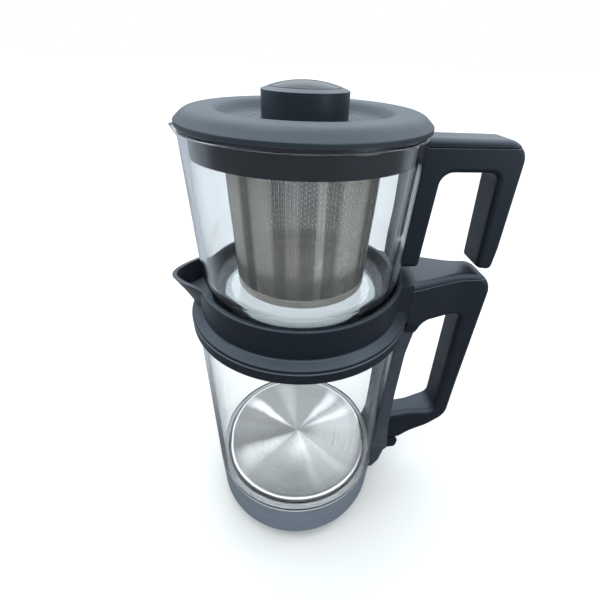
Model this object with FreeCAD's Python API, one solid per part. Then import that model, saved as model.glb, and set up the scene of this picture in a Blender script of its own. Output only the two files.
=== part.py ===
"""Two-storey electric tea maker, millimetres.

A glass kettle stands on a round power base, and a glass teapot with a strainer basket nests in the
kettle's collar. Z is the kettle's axis and the table is Z = 0. The handles point along +X and the
spouts along -X.
"""
import FreeCAD, Part
import math
import os

Vector = FreeCAD.Vector
UP = Vector(0, 0, 1)

# ------------------------------------------------------------------ driving sizes
# Walls and fits
WALL = 2.4                  # moulded plastic
GLASS_WALL = 3.2            # kettle glass
POT_WALL = 4.0              # teapot glass, thicker because it is mouth-blown
SHEET = 0.8                 # perforated steel
SEAL = 1.2                  # flat silicone seals
LOOSE = 0.4                 # between pieces that only stand beside each other
SNUG = 0.1                  # between pieces that are pressed or glued together
RUNNING = 0.05              # radial, between a pin and its bore

# Power base
FOOT_HEIGHT = 2.0
BASE_HEIGHT = 16.0          # table to the face that the kettle stands on
POST_RADIUS = 8.6           # contact post
POST_HEIGHT = 14.0          # above the seat
CORD_RADIUS = 2.8           # bore of the cord gland

# Kettle
SEAT_RECESS = 3.0           # the kettle's skirt hangs this far below its seat
KETTLE_BASE_HEIGHT = 33.0
KETTLE_RADIUS = 70.0        # glass where it leaves the base ring
KETTLE_TOP_RADIUS = 75.5    # glass where it enters the collar
GLASS_SHOWN = 145.0         # glass between the base ring and the collar
GLASS_HIDDEN = 5.5          # glass inside the collar
SKIRT_RADIUS = KETTLE_RADIUS - 1.8      # base ring at its lower edge
BASE_RADIUS = SKIRT_RADIUS - 7.2        # power base at the table
BASE_TOP_RADIUS = BASE_RADIUS - 1.0
PLATE_RADIUS = KETTLE_RADIUS - 7.5      # raised disc of the heating plate
PLATE_RISE = 4.0            # above the foot of the glass
BAND_DEPTH = 13.5           # upper band of the base ring

# Collar
COLLAR_HEIGHT = 34.0
COLLAR_SKIRT = KETTLE_TOP_RADIUS + 3.1
SHOULDER_HEIGHT = 8.0       # collar's lower edge to its groove
NECK_RADIUS = KETTLE_TOP_RADIUS - 3.5
RIM_WALL = 3.0
KETTLE_MOUTH = NECK_RADIUS - 17.0       # opening in the teapot's seat
SPOUT_REACH = NECK_RADIUS + 18.5        # axis to the tip of the spout
SPOUT_TIP_RADIUS = 13.0
BOSS_RADIUS = KETTLE_TOP_RADIUS + 5.5   # face that the handle butts on
COVER_DEPTH = 5.5           # rim down to the seam under the handle's cover

# Kettle handle, measured from the axis and from the foot of the glass
GRIP_INNER = BOSS_RADIUS + 44.6
GRIP_OUTER = GRIP_INNER + 20.0
GRIP_LOW = GRIP_OUTER - 7.2             # outer face of the grip at its narrowest
ROOT_HALF_WIDTH = 24.4      # at the boss
GRIP_HALF_WIDTH = 12.6
LOWER_ARM_HALF_WIDTH = 9.5
WINDOW_TOP = 140.0
WINDOW_BOTTOM = 25.5
RAIL_THICKNESS = 10.5       # rail outside the glass
RAIL_HALF_WIDTH = 13.0
RAIL_FOOT_HALF_WIDTH = 18.5
GRIP_FILLET = 4.5

# Switch lever
LEVER_REACH = KETTLE_RADIUS + 26.5
LEVER_HALF_WIDTH = 8.6
PIN_RADIUS = 1.25

# Teapot
POT_SEAT_DEPTH = 13.0       # collar's rim down to the teapot's seat
POT_HEIGHT = 113.5
POT_HEEL_RADIUS = NECK_RADIUS - 2.6
POT_RIM_RADIUS = POT_HEEL_RADIUS + 5.2
POT_HEEL_HEIGHT = 21.0
POT_FLOOR = 5.0
LIP_REACH = POT_RIM_RADIUS + 5.4        # axis to the tip of the pouring lip
POT_GRIP_INNER = POT_RIM_RADIUS + 52.6
POT_GRIP_OUTER = POT_GRIP_INNER + 16.4
POT_HANDLE_HALF_WIDTH = 12.4
POT_ARM_DROP = 4.2          # glass rim down to the top of the handle

# Basket
BASKET_TOP_RADIUS = POT_RIM_RADIUS - 24.8
BASKET_BOTTOM_RADIUS = BASKET_TOP_RADIUS - 5.1
BASKET_STANDOFF = 5.0       # teapot's floor up to the basket
RING_SKIRT_RADIUS = POT_RIM_RADIUS - POT_WALL - 1.4
RING_DEPTH = 14.5           # glass rim down to the ring's web
RING_FLANGE = 1.5

# Lid
LID_RADIUS = POT_RIM_RADIUS + 1.1
LID_RISE = 8.6              # seat to crown
LID_FLOOR_RISE = 2.0        # seat to the sunken floor
LID_CROWN_OUTER = LID_RADIUS - 6.2
LID_CROWN_INNER = LID_CROWN_OUTER - 16.0
LID_FLOOR_RADIUS = LID_CROWN_INNER - 6.5
KNOB_RADIUS = 26.2
KNOB_SIDE = 16.2            # sunken floor to the edge of the knob's crown
KNOB_RISE = 5.3             # edge to the middle of the crown
INLAY_RADIUS = 21.4
INLAY_THICKNESS = 1.4
PLUG_DEPTH = 9.0

# ------------------------------------------------------------------ levels above the table
SKIRT_FOOT = BASE_HEIGHT - SEAT_RECESS
GLASS_FOOT = SKIRT_FOOT + KETTLE_BASE_HEIGHT
COLLAR_FOOT = GLASS_FOOT + GLASS_SHOWN
COLLAR_RIM = COLLAR_FOOT + COLLAR_HEIGHT
POT_SEAT = COLLAR_RIM - POT_SEAT_DEPTH
POT_RIM = POT_SEAT + POT_HEIGHT
LID_SEAT = POT_RIM + RING_FLANGE
SEAM = COLLAR_RIM - COVER_DEPTH - 1.5
HANDLE_TOP = COLLAR_RIM - 1.5
GLASS_TOP = COLLAR_FOOT + GLASS_HIDDEN
PLATE_FLANGE_TOP = GLASS_FOOT - SEAL
PLATE_SHEET = 1.0


# ------------------------------------------------------------------ drawing helpers
def in_section(u, v):
    """Section plane: u out from the axis, v up."""
    return Vector(u, 0, v)


def at_level(level):
    """Plan plane at a level above the table."""
    def place(u, v):
        return Vector(u, v, level)
    return place


def across(u, v):
    """Plane across the handle: u along Y, v up."""
    return Vector(0, u, v)


def outline(points, place):
    """Closed wire through (u, v) or (u, v, corner radius) points."""
    corners = [(Vector(p[0], p[1], 0), p[2] if len(p) > 2 else 0.0) for p in points]
    turns = []
    for i, (here, radius) in enumerate(corners):
        if radius == 0:
            turns.append((here, None, here))
            continue
        back = (corners[i - 1][0] - here).normalize()
        ahead = (corners[(i + 1) % len(corners)][0] - here).normalize()
        half = back.getAngle(ahead) / 2
        reach = radius / math.tan(half)
        bulge = radius / math.sin(half) - radius
        middle = here + (back + ahead).normalize() * bulge
        turns.append((here + back * reach, middle, here + ahead * reach))
    edges = []
    for i, (start, middle, end) in enumerate(turns):
        if middle is not None:
            arc = [place(p.x, p.y) for p in (start, middle, end)]
            edges.append(Part.Arc(*arc).toShape())
        following = turns[(i + 1) % len(turns)][0]
        if end.distanceToPoint(following) > 1e-6:
            edges.append(Part.makeLine(place(end.x, end.y), place(following.x, following.y)))
    return Part.Wire(edges)


def revolved(points, angle=360):
    """Solid of revolution about the kettle's axis."""
    return Part.Face(outline(points, in_section)).revolve(Vector(0, 0, 0), UP, angle)


def slab(points, half_width):
    """Side outline drawn out to the same half width on both sides."""
    face = Part.Face(outline(points, in_section))
    face.translate(Vector(0, -half_width, 0))
    return face.extrude(Vector(0, 2 * half_width, 0))


def prism(points, low, high):
    """Plan outline drawn up from one level to another."""
    return Part.Face(outline(points, at_level(low))).extrude(Vector(0, 0, high - low))


def disc(radius, low, high, x=0.0, y=0.0):
    """Upright cylinder."""
    return Part.makeCylinder(radius, high - low, Vector(x, y, low))


def ring(inner, outer, low, high):
    """Upright tube."""
    return disc(outer, low, high).cut(disc(inner, low, high))


def rod(radius, start, end, axis=Vector(1, 0, 0)):
    """Cylinder along an axis from start to a length."""
    return Part.makeCylinder(radius, end, start, axis)


def block(x0, x1, half_width, low, high):
    """Box centred on the plane of the handles."""
    return Part.makeBox(x1 - x0, 2 * half_width, high - low, Vector(x0, -half_width, low))


def around(count, radius, first=0.0):
    """Places of a ring of equal pieces."""
    for i in range(count):
        turn = math.radians(first + 360.0 * i / count)
        yield radius * math.cos(turn), radius * math.sin(turn)


def fused(shapes):
    """One solid from several that overlap."""
    return shapes[0].multiFuse(shapes[1:]).removeSplitter()


def kettle_glass_radius(level):
    """Outer radius of the kettle glass, a straight cone."""
    return KETTLE_RADIUS + (KETTLE_TOP_RADIUS - KETTLE_RADIUS) * (level - GLASS_FOOT) / GLASS_SHOWN


def pot_glass_radius(level):
    """Outer radius of the teapot above its heel."""
    share = (level - POT_SEAT - POT_HEEL_HEIGHT) / (POT_HEIGHT - POT_HEEL_HEIGHT)
    return POT_HEEL_RADIUS + (POT_RIM_RADIUS - POT_HEEL_RADIUS) * share


def basket_radius(level):
    """Outer radius of the strainer basket."""
    top = POT_RIM - RING_DEPTH
    bottom = POT_SEAT + POT_FLOOR + BASKET_STANDOFF
    share = (level - bottom) / (top - bottom)
    return BASKET_BOTTOM_RADIUS + (BASKET_TOP_RADIUS - BASKET_BOTTOM_RADIUS) * share


def skirt_radius(level):
    """Outer radius of the kettle's base ring."""
    share = (level - SKIRT_FOOT) / KETTLE_BASE_HEIGHT
    return SKIRT_RADIUS + (KETTLE_RADIUS - SKIRT_RADIUS) * share


# ------------------------------------------------------------------ power base
SCREW_CIRCLE = BASE_RADIUS - 17.0
FOOT_RING = (BASE_RADIUS - 13.5, BASE_RADIUS - 6.5)
BASE_SCREW_RADIUS = 1.5
BASE_PLATE_TOP = FOOT_HEIGHT + 2.0
GLAND_RADIUS = CORD_RADIUS + 1.2
GLAND_LEVEL = (BASE_PLATE_TOP + BASE_HEIGHT - WALL) / 2


def base_shell():
    under = BASE_HEIGHT - WALL
    shell = revolved([
        (BASE_RADIUS - WALL, FOOT_HEIGHT), (BASE_RADIUS, FOOT_HEIGHT, 0.6),
        (BASE_TOP_RADIUS, BASE_HEIGHT, 2.5), (POST_RADIUS + 5, BASE_HEIGHT),
        (POST_RADIUS + 5, under), (BASE_TOP_RADIUS - WALL, under, 1.5)])
    studs = [disc(3.4, BASE_PLATE_TOP + SNUG, under + 0.5, x, y) for x, y in around(3, SCREW_CIRCLE, 60)]
    holes = [disc(BASE_SCREW_RADIUS, BASE_PLATE_TOP, under - 1, x, y)
             for x, y in around(3, SCREW_CIRCLE, 60)]
    gland_hole = rod(GLAND_RADIUS + SNUG, Vector(BASE_RADIUS - 8, 0, GLAND_LEVEL), 12)
    return fused([shell] + studs).cut(Part.makeCompound(holes + [gland_hole]))


def base_bottom():
    plate = disc(BASE_RADIUS - WALL - LOOSE, FOOT_HEIGHT, BASE_PLATE_TOP)
    holes = [disc(BASE_SCREW_RADIUS + LOOSE, 0, BASE_HEIGHT, x, y) for x, y in around(3, SCREW_CIRCLE, 60)]
    sinks = [disc(3.2, 0, FOOT_HEIGHT + 1.0, x, y) for x, y in around(3, SCREW_CIRCLE, 60)]
    vents = [Part.makeBox(2.0, 14.0, 9.0, Vector(x - 1.0, -7.0, 0)) for x in (-26, -20, -14, 14, 20, 26)]
    return plate.cut(Part.makeCompound(holes + sinks + vents))


def foot_ring():
    """Rubber ring that the power base stands on, with two grip grooves."""
    inner, outer = FOOT_RING
    grooves = []
    for share in (2 / 3, 1 / 3):
        middle = inner + (outer - inner) * share
        grooves += [(middle + 0.5, 0), (middle, 0.6), (middle - 0.5, 0)]
    return revolved([(inner, FOOT_HEIGHT), (outer, FOOT_HEIGHT), (outer, 0, 0.5)] + grooves + [(inner, 0, 0.5)])


def base_screws():
    screws = []
    for x, y in around(3, SCREW_CIRCLE, 60):
        head = disc(2.8, FOOT_HEIGHT - 0.2, FOOT_HEIGHT + 1.0, x, y)
        shank = disc(BASE_SCREW_RADIUS - RUNNING, FOOT_HEIGHT + 0.5, BASE_HEIGHT - WALL - 2, x, y)
        screws.append(fused([head, shank]))
    return Part.makeCompound(screws)


def base_connector():
    top = BASE_HEIGHT + POST_HEIGHT
    collar = POST_RADIUS + 5 - SNUG
    post = revolved([
        (0, BASE_PLATE_TOP + 1), (collar + 3, BASE_PLATE_TOP + 1), (collar + 3, BASE_HEIGHT - WALL - SNUG),
        (collar, BASE_HEIGHT - WALL - SNUG), (collar, BASE_HEIGHT - 0.3), (POST_RADIUS + 1.6, BASE_HEIGHT - 0.3),
        (POST_RADIUS + 1.6, BASE_HEIGHT + 2.0, 0.6), (POST_RADIUS, BASE_HEIGHT + 2.6),
        (POST_RADIUS, top, 1.4), (3.4, top), (3.4, top - 6), (0, top - 6)])
    grooves = [ring(POST_RADIUS - 0.8, POST_RADIUS + 1, low, low + 2.2) for low in contact_levels()]
    return post.cut(Part.makeCompound(grooves))


def contact_levels():
    """Lower edges of the two contact rings on the post."""
    return BASE_HEIGHT + 4.6, BASE_HEIGHT + 9.0


def base_contacts():
    rings = [ring(POST_RADIUS - 0.8 + RUNNING, POST_RADIUS - 0.1, low + SNUG, low + 2.2 - SNUG)
             for low in contact_levels()]
    pin = disc(1.6, BASE_HEIGHT + POST_HEIGHT - 6, BASE_HEIGHT + POST_HEIGHT - 0.6)
    return Part.makeCompound(rings + [pin])


def cord_gland():
    inner = Vector(BASE_RADIUS - 6.5, 0, GLAND_LEVEL)
    sleeve = rod(GLAND_RADIUS, inner, 9.0)
    flange = rod(GLAND_RADIUS + 0.6, inner, 2.4)
    nose = Part.makeCone(GLAND_RADIUS, GLAND_RADIUS - 1.0, 2.5, inner + Vector(8.5, 0, 0), Vector(1, 0, 0))
    return fused([sleeve, flange, nose]).cut(rod(CORD_RADIUS, inner - Vector(1, 0, 0), 14))


def terminal_block():
    body = block(BASE_RADIUS - 27, BASE_RADIUS - 15, 8, BASE_PLATE_TOP, BASE_PLATE_TOP + 7)
    ways = [rod(1.5, Vector(BASE_RADIUS - 28, y, BASE_PLATE_TOP + 3), 14) for y in (-5, 0, 5)]
    return body.cut(Part.makeCompound(ways))


# ------------------------------------------------------------------ kettle base
SOCKET_RADIUS = 20.0
SOCKET_TOP = BASE_HEIGHT + 20.0
COVER_SCREW_CIRCLE = SKIRT_RADIUS - 18.2
LEVER_PIN_X = KETTLE_RADIUS + 4.2
LEVER_PIN_Z = GLASS_FOOT - 13.0
LEVER_SLOT = (GLASS_FOOT - 22.5, GLASS_FOOT - 6.6)


def kettle_base_ring():
    top = PLATE_FLANGE_TOP
    ledge = top - PLATE_SHEET
    lip = PLATE_RADIUS + 4.5
    band = GLASS_FOOT - BAND_DEPTH
    within = KETTLE_RADIUS - 10
    ring_body = revolved([
        (SKIRT_RADIUS - WALL, SKIRT_FOOT), (SKIRT_RADIUS, SKIRT_FOOT, 0.9),
        (skirt_radius(band - 0.5), band - 0.5), (skirt_radius(band) - 0.4, band - 0.4),
        (skirt_radius(band) - 0.4, band), (skirt_radius(band), band + 0.1),
        (skirt_radius(top), top), (lip + SNUG, top), (lip + SNUG, ledge), (PLATE_RADIUS + 1, ledge),
        (PLATE_RADIUS + 1, ledge - 2.2), (skirt_radius(ledge - 4) - WALL, ledge - 5)])
    studs = []
    for x, y in around(3, COVER_SCREW_CIRCLE, 60):
        studs.append(disc(3.6, BASE_HEIGHT + WALL + SNUG, BASE_HEIGHT + 12, x, y))
        out = Vector(x, y, 0).normalize()
        web = Part.makeBox(13.5, 2.0, 8.0, Vector(3.0, -1.0, BASE_HEIGHT + WALL + SNUG))
        web.rotate(Vector(0, 0, 0), UP, math.degrees(math.atan2(out.y, out.x)))
        web.translate(Vector(x, y, 0))
        studs.append(web)
    holes = [disc(BASE_SCREW_RADIUS, BASE_HEIGHT, BASE_HEIGHT + 11, x, y)
             for x, y in around(3, COVER_SCREW_CIRCLE, 60)]
    slot = block(within, KETTLE_RADIUS + 5, LEVER_HALF_WIDTH + LOOSE, *LEVER_SLOT)
    for y in (-RAIL_SCREW_Y, RAIL_SCREW_Y):
        holes.append(rod(RAIL_SCREW_RADIUS + SNUG, Vector(within, y, RAIL_SCREW_LEVEL), 15))
        holes.append(rod(2.9, Vector(within - 5, y, RAIL_SCREW_LEVEL), RAIL_SCREW_HEAD + 6.8 - within))
    return fused([ring_body] + studs).cut(Part.makeCompound(holes + [slot]))


def bottom_cover():
    plate = revolved([
        (SOCKET_RADIUS + SNUG, BASE_HEIGHT), (SKIRT_RADIUS - WALL - LOOSE, BASE_HEIGHT, 0.8),
        (SKIRT_RADIUS - WALL - LOOSE, BASE_HEIGHT + WALL), (SOCKET_RADIUS + SNUG, BASE_HEIGHT + WALL)])
    holes = [disc(BASE_SCREW_RADIUS + LOOSE, 0, 60, x, y) for x, y in around(3, COVER_SCREW_CIRCLE, 60)]
    sinks = [disc(3.2, 0, BASE_HEIGHT + 1.2, x, y) for x, y in around(3, COVER_SCREW_CIRCLE, 60)]
    drains = [disc(1.6, 0, 60, x, y) for x, y in around(6, SOCKET_RADIUS + 13)]
    return plate.cut(Part.makeCompound(holes + sinks + drains))


def bottom_screws():
    screws = []
    for x, y in around(3, COVER_SCREW_CIRCLE, 60):
        head = disc(2.8, BASE_HEIGHT + 0.1, BASE_HEIGHT + 1.2, x, y)
        shank = disc(BASE_SCREW_RADIUS - RUNNING, BASE_HEIGHT + 0.5, BASE_HEIGHT + 10.5, x, y)
        screws.append(fused([head, shank]))
    return Part.makeCompound(screws)


def kettle_socket():
    mouth = POST_RADIUS + 1.6 + 0.8
    bore = POST_RADIUS + 0.8
    roof = BASE_HEIGHT + POST_HEIGHT + 1.2
    body = revolved([
        (mouth, BASE_HEIGHT), (SOCKET_RADIUS, BASE_HEIGHT), (SOCKET_RADIUS, BASE_HEIGHT + WALL + SNUG),
        (SOCKET_RADIUS + 4, BASE_HEIGHT + WALL + SNUG), (SOCKET_RADIUS + 4, BASE_HEIGHT + WALL + 2.2),
        (SOCKET_RADIUS - 1.5, BASE_HEIGHT + WALL + 2.2, 1.0), (SOCKET_RADIUS - 3, SOCKET_TOP, 1.5),
        (0, SOCKET_TOP), (0, roof), (bore, roof), (bore, BASE_HEIGHT + 3.4), (mouth, BASE_HEIGHT + 2.6)])
    tongue = block(14, 34, 9.0, BASE_HEIGHT + WALL + SNUG, BASE_HEIGHT + WALL + 2.2)
    tower = block(27, 34, 9.0, BASE_HEIGHT + WALL + SNUG, LEVER_PIN_Z + 3)
    return fused([body, tongue, tower])


def thermostat():
    under = GLASS_FOOT + PLATE_RISE - PLATE_SHEET - DIFFUSER
    body = disc(8.0, SOCKET_TOP, under - 2.4)
    cap = revolved([(0, under - 2.4), (6.6, under - 2.4), (6.6, under - 0.2, 1.2), (0, under - 0.2)])
    return fused([body, cap])


DIFFUSER = 2.5
ELEMENT_CIRCLE = PLATE_RADIUS - 24.5
ELEMENT_RADIUS = 3.5


def heating_plate():
    top = GLASS_FOOT + PLATE_RISE
    lip = PLATE_RADIUS + 4.5
    return revolved([
        (0, top - PLATE_SHEET), (PLATE_RADIUS - PLATE_SHEET, top - PLATE_SHEET, 2.0),
        (PLATE_RADIUS - PLATE_SHEET, PLATE_FLANGE_TOP - PLATE_SHEET), (lip, PLATE_FLANGE_TOP - PLATE_SHEET),
        (lip, PLATE_FLANGE_TOP), (PLATE_RADIUS, PLATE_FLANGE_TOP), (PLATE_RADIUS, top, 3.0), (0, top)])


def diffuser_plate():
    top = GLASS_FOOT + PLATE_RISE - PLATE_SHEET
    return disc(PLATE_RADIUS - 10.5, top - DIFFUSER, top)


def heating_element():
    level = GLASS_FOOT + PLATE_RISE - PLATE_SHEET - DIFFUSER - ELEMENT_RADIUS
    gap = 24.0
    circle = Part.Wire(Part.makeCircle(ELEMENT_RADIUS, Vector(ELEMENT_CIRCLE, 0, level), Vector(0, 1, 0)))
    tube = Part.Face(circle).revolve(Vector(0, 0, 0), UP, 360 - 2 * gap)
    tube.rotate(Vector(0, 0, 0), UP, gap)
    ends = []
    for turn in (gap + 3.0, -gap - 3.0):
        x = ELEMENT_CIRCLE * math.cos(math.radians(turn))
        y = ELEMENT_CIRCLE * math.sin(math.radians(turn))
        ends.append(disc(1.6, level - 11, level, x, y))
    return fused([tube] + ends)


def plate_seal():
    lip = PLATE_RADIUS + 0.6
    return revolved([
        (lip, PLATE_FLANGE_TOP), (KETTLE_RADIUS - 0.3, PLATE_FLANGE_TOP), (KETTLE_RADIUS - 0.3, GLASS_FOOT),
        (lip + 2.4, GLASS_FOOT), (lip + 1.6, GLASS_FOOT + 1.6, 0.4), (lip, GLASS_FOOT + 0.4)])


# ------------------------------------------------------------------ kettle glass and collar
def kettle_glass():
    top = kettle_glass_radius(GLASS_TOP)
    return revolved([
        (KETTLE_RADIUS - GLASS_WALL, GLASS_FOOT, 0.6), (KETTLE_RADIUS, GLASS_FOOT, 0.6),
        (top, GLASS_TOP, 1.4), (top - GLASS_WALL, GLASS_TOP, 1.4)])


def collar_seal():
    top = kettle_glass_radius(GLASS_TOP)
    inner = top - GLASS_WALL
    return revolved([
        (inner - 1.6, GLASS_TOP - 3), (inner - LOOSE, GLASS_TOP - 3), (inner - LOOSE, GLASS_TOP),
        (top, GLASS_TOP), (top, GLASS_TOP + SEAL), (inner - 1.6, GLASS_TOP + SEAL)])


def beak(reach, root, root_angle, tip_radius, level, lean=36.0, back=None):
    """Plan section of a spout: a rounded tip on -X whose flanks run into a circle about the axis.

    lean is the turn of the tip's arc from -X to where each flank starts.
    """
    lean = math.radians(lean)
    turn = math.radians(root_angle)
    side = Vector(-(reach - tip_radius + tip_radius * math.cos(lean)), tip_radius * math.sin(lean), level)
    foot = Vector(-root * math.cos(turn), root * math.sin(turn), level)
    pull = side.distanceToPoint(foot) * 0.4
    off_tip = side + Vector(math.sin(lean), math.cos(lean), 0) * pull
    off_root = foot - Vector(math.sin(turn), math.cos(turn), 0) * pull
    flank = Part.BezierCurve()
    flank.setPoles([side, off_tip, off_root, foot])
    flank = flank.toShape()
    other = flank.mirror(Vector(0, 0, 0), Vector(0, 1, 0))
    mirrored = [Vector(p.x, -p.y, p.z) for p in (side, foot)]
    tip = Part.Arc(mirrored[0], Vector(-reach, 0, level), side).toShape()
    inside = [foot, mirrored[1]]
    if back is not None:
        inside = [foot, Vector(-back, foot.y, level), Vector(-back, -foot.y, level), mirrored[1]]
    closing = [Part.makeLine(a, b) for a, b in zip(inside, inside[1:])]
    return Part.Wire(Part.__sortEdges__([tip, flank, other] + closing))


def spout_outside():
    """Outer form of the spout: its tip leans out as it rises from the shoulder to the rim."""
    grow = SPOUT_REACH - NECK_RADIUS
    sections = []
    for share, angle, rise in ((0.36, 18, 10.5), (0.61, 22, 20), (0.83, 26, 27), (1.07, 29, 34.5)):
        reach = NECK_RADIUS + grow * share
        sections.append(beak(reach, NECK_RADIUS - 1, angle, SPOUT_TIP_RADIUS * share, COLLAR_FOOT + rise))
    return Part.makeLoft(sections, True, False)


def spout_channel():
    """Hollow of the spout: open on top and towards the teapot, with its floor at the teapot's seat."""
    grow = SPOUT_REACH - NECK_RADIUS
    sections = []
    for share, angle, rise in ((0.64, 19, 0), (0.83, 22, 6), (1.09, 25.5, POT_SEAT_DEPTH + 1.5)):
        reach = NECK_RADIUS + grow * share - 3.0
        tip = SPOUT_TIP_RADIUS * share - 2.4
        sections.append(beak(reach, NECK_RADIUS - 0.5, angle, tip, POT_SEAT + rise, back=NECK_RADIUS - 18))
    return Part.makeLoft(sections, True, False)


BOSS_BACK = BOSS_RADIUS - 19.0


def collar_boss():
    """Block on the handle side that the handle butts on, with its end round about the axis."""
    side = BOSS_RADIUS + 4
    wide = ROOT_HALF_WIDTH + 0.25 * (BOSS_RADIUS - BOSS_BACK)
    plan = [(BOSS_BACK, -wide), (side, -ROOT_HALF_WIDTH + 1), (side, ROOT_HALF_WIDTH - 1), (BOSS_BACK, wide)]
    return prism(plan, COLLAR_FOOT, HANDLE_TOP).common(disc(BOSS_RADIUS, COLLAR_FOOT, HANDLE_TOP))


LUG_HALF_WIDTH = 9.0
LUG_REACH = BOSS_RADIUS + 19.0
LUG_TOP = SEAM - 2.2
LUG_THICKNESS = 5.0
HANDLE_SCREW_RADIUS = 1.8
HANDLE_SCREW_X = (BOSS_RADIUS + 7.0, BOSS_RADIUS + 14.0)


def collar():
    groove = COLLAR_FOOT + SHOULDER_HEIGHT
    outside = revolved([
        (0, COLLAR_FOOT), (COLLAR_SKIRT, COLLAR_FOOT, 0.8), (COLLAR_SKIRT + 0.4, groove - 0.4),
        (COLLAR_SKIRT - 0.4, groove), (COLLAR_SKIRT - 0.4, groove + 0.8),
        (COLLAR_SKIRT - 0.1, groove + 2.0, 1.2), (NECK_RADIUS, groove + 4.8, 1.5),
        (NECK_RADIUS + 0.3, COLLAR_RIM, 1.0), (0, COLLAR_RIM)])
    lug = block(NECK_RADIUS, LUG_REACH, LUG_HALF_WIDTH, LUG_TOP - LUG_THICKNESS, LUG_TOP)
    body = fused([outside, spout_outside(), collar_boss(), lug])
    seat_edge = NECK_RADIUS - RIM_WALL - 4.3
    bowl = revolved([
        (0, COLLAR_FOOT), (KETTLE_MOUTH, COLLAR_FOOT), (KETTLE_MOUTH, POT_SEAT), (seat_edge, POT_SEAT, 9.5),
        (NECK_RADIUS + 0.3 - RIM_WALL, COLLAR_RIM - 1), (NECK_RADIUS + 0.9 - RIM_WALL, COLLAR_RIM + 0.5),
        (0, COLLAR_RIM + 0.5)])
    glass = kettle_glass_radius(GLASS_TOP) + LOOSE
    seat = GLASS_TOP + SEAL
    under = revolved([
        (0, COLLAR_FOOT - 1), (glass, COLLAR_FOOT - 1), (glass, seat), (NECK_RADIUS - 1, seat),
        (NECK_RADIUS - 5.5, POT_SEAT - 5.5, 3.0), (NECK_RADIUS - 11, POT_SEAT - 3), (0, POT_SEAT - 3)])
    droop = 2.2
    tip = SPOUT_REACH + 12
    over = slab([(-NECK_RADIUS, COLLAR_RIM), (-tip, COLLAR_RIM - droop), (-tip, COLLAR_RIM + 9),
                 (-NECK_RADIUS + 9, COLLAR_RIM + 9), (-NECK_RADIUS + 9, COLLAR_RIM)], 60)
    seam = prism([(NECK_RADIUS + 0.3, -40), (BOSS_RADIUS + 5, -40), (BOSS_RADIUS + 5, 40), (NECK_RADIUS + 0.3, 40)],
                 SEAM - 0.4, SEAM + 0.4).cut(boss_core())
    holes = [disc(HANDLE_SCREW_RADIUS + RUNNING, LUG_TOP - 9, LUG_TOP + 3, x) for x in HANDLE_SCREW_X]
    return body.cut(Part.makeCompound([bowl, under])).cut(spout_channel()).cut(over).cut(
        Part.makeCompound([seam] + holes))


def boss_core():
    """What stays of the boss behind the groove that carries on the handle's seam."""
    wide = ROOT_HALF_WIDTH + 0.25 * (BOSS_RADIUS - BOSS_BACK) - 0.8
    side = BOSS_RADIUS + 4
    plan = [(BOSS_BACK, -wide), (side, -ROOT_HALF_WIDTH + 1.8), (side, ROOT_HALF_WIDTH - 1.8), (BOSS_BACK, wide)]
    return prism(plan, SEAM - 1, SEAM + 1).common(disc(BOSS_RADIUS + 1, SEAM - 1, SEAM + 1))


# ------------------------------------------------------------------ kettle handle
ROOT_GAP = 0.3              # seam between the boss and the handle
SEAM_CHAMFER = 0.5
RAIL_SCREW_RADIUS = 1.6
RAIL_SCREW_LEVEL = GLASS_FOOT - 20.0
RAIL_SCREW_Y = 15.0         # either side of the lever
RAIL_SCREW_HEAD = SKIRT_RADIUS - WALL - 3.2
RAIL_FIT = 0.3              # rail to glass and base ring
RAIL_FLARE = 7.0            # on each side, up to the collar
FLARE_HEIGHT = 42.0
ARM_SCREW_LEVEL = GLASS_FOOT + 8.0
ROOT_FOOT = GLASS_FOOT + 130.0
BLEND = 40.0                # radius where the handle's sides turn


def rail_face(level):
    """Distance from the axis of the rail's outer face; it leans out a little more than the glass."""
    share = (level - GLASS_FOOT) / GLASS_SHOWN
    return kettle_glass_radius(level) + RAIL_THICKNESS + 2.0 * share * share


def rail_half_width(level):
    """Half width of the rail where it flares towards the collar."""
    return RAIL_HALF_WIDTH + RAIL_FLARE * (1 - (COLLAR_FOOT - level) / FLARE_HEIGHT)


def both_sides(points):
    """Plan outline from half widths along X: (x, half width) or (x, half width, corner radius)."""
    near = [(p[0], -p[1]) + tuple(p[2:]) for p in points]
    far = [tuple(p) for p in reversed(points)]
    return near + far


def side_edges(solid, keep):
    """Edges between a side face and a face across it, where keep(point) allows."""
    seen = {}
    for face in solid.Faces:
        low_u, high_u, low_v, high_v = face.ParameterRange
        if abs(face.normalAt((low_u + high_u) / 2, (low_v + high_v) / 2).y) > 0.9:
            for edge in face.Edges:
                seen.setdefault(edge.hashCode(), []).append(edge)
    alone = [edges[0] for edges in seen.values() if len(edges) == 1]
    return [e for e in alone if keep(e.valueAt((e.FirstParameter + e.LastParameter) / 2))]


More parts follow.
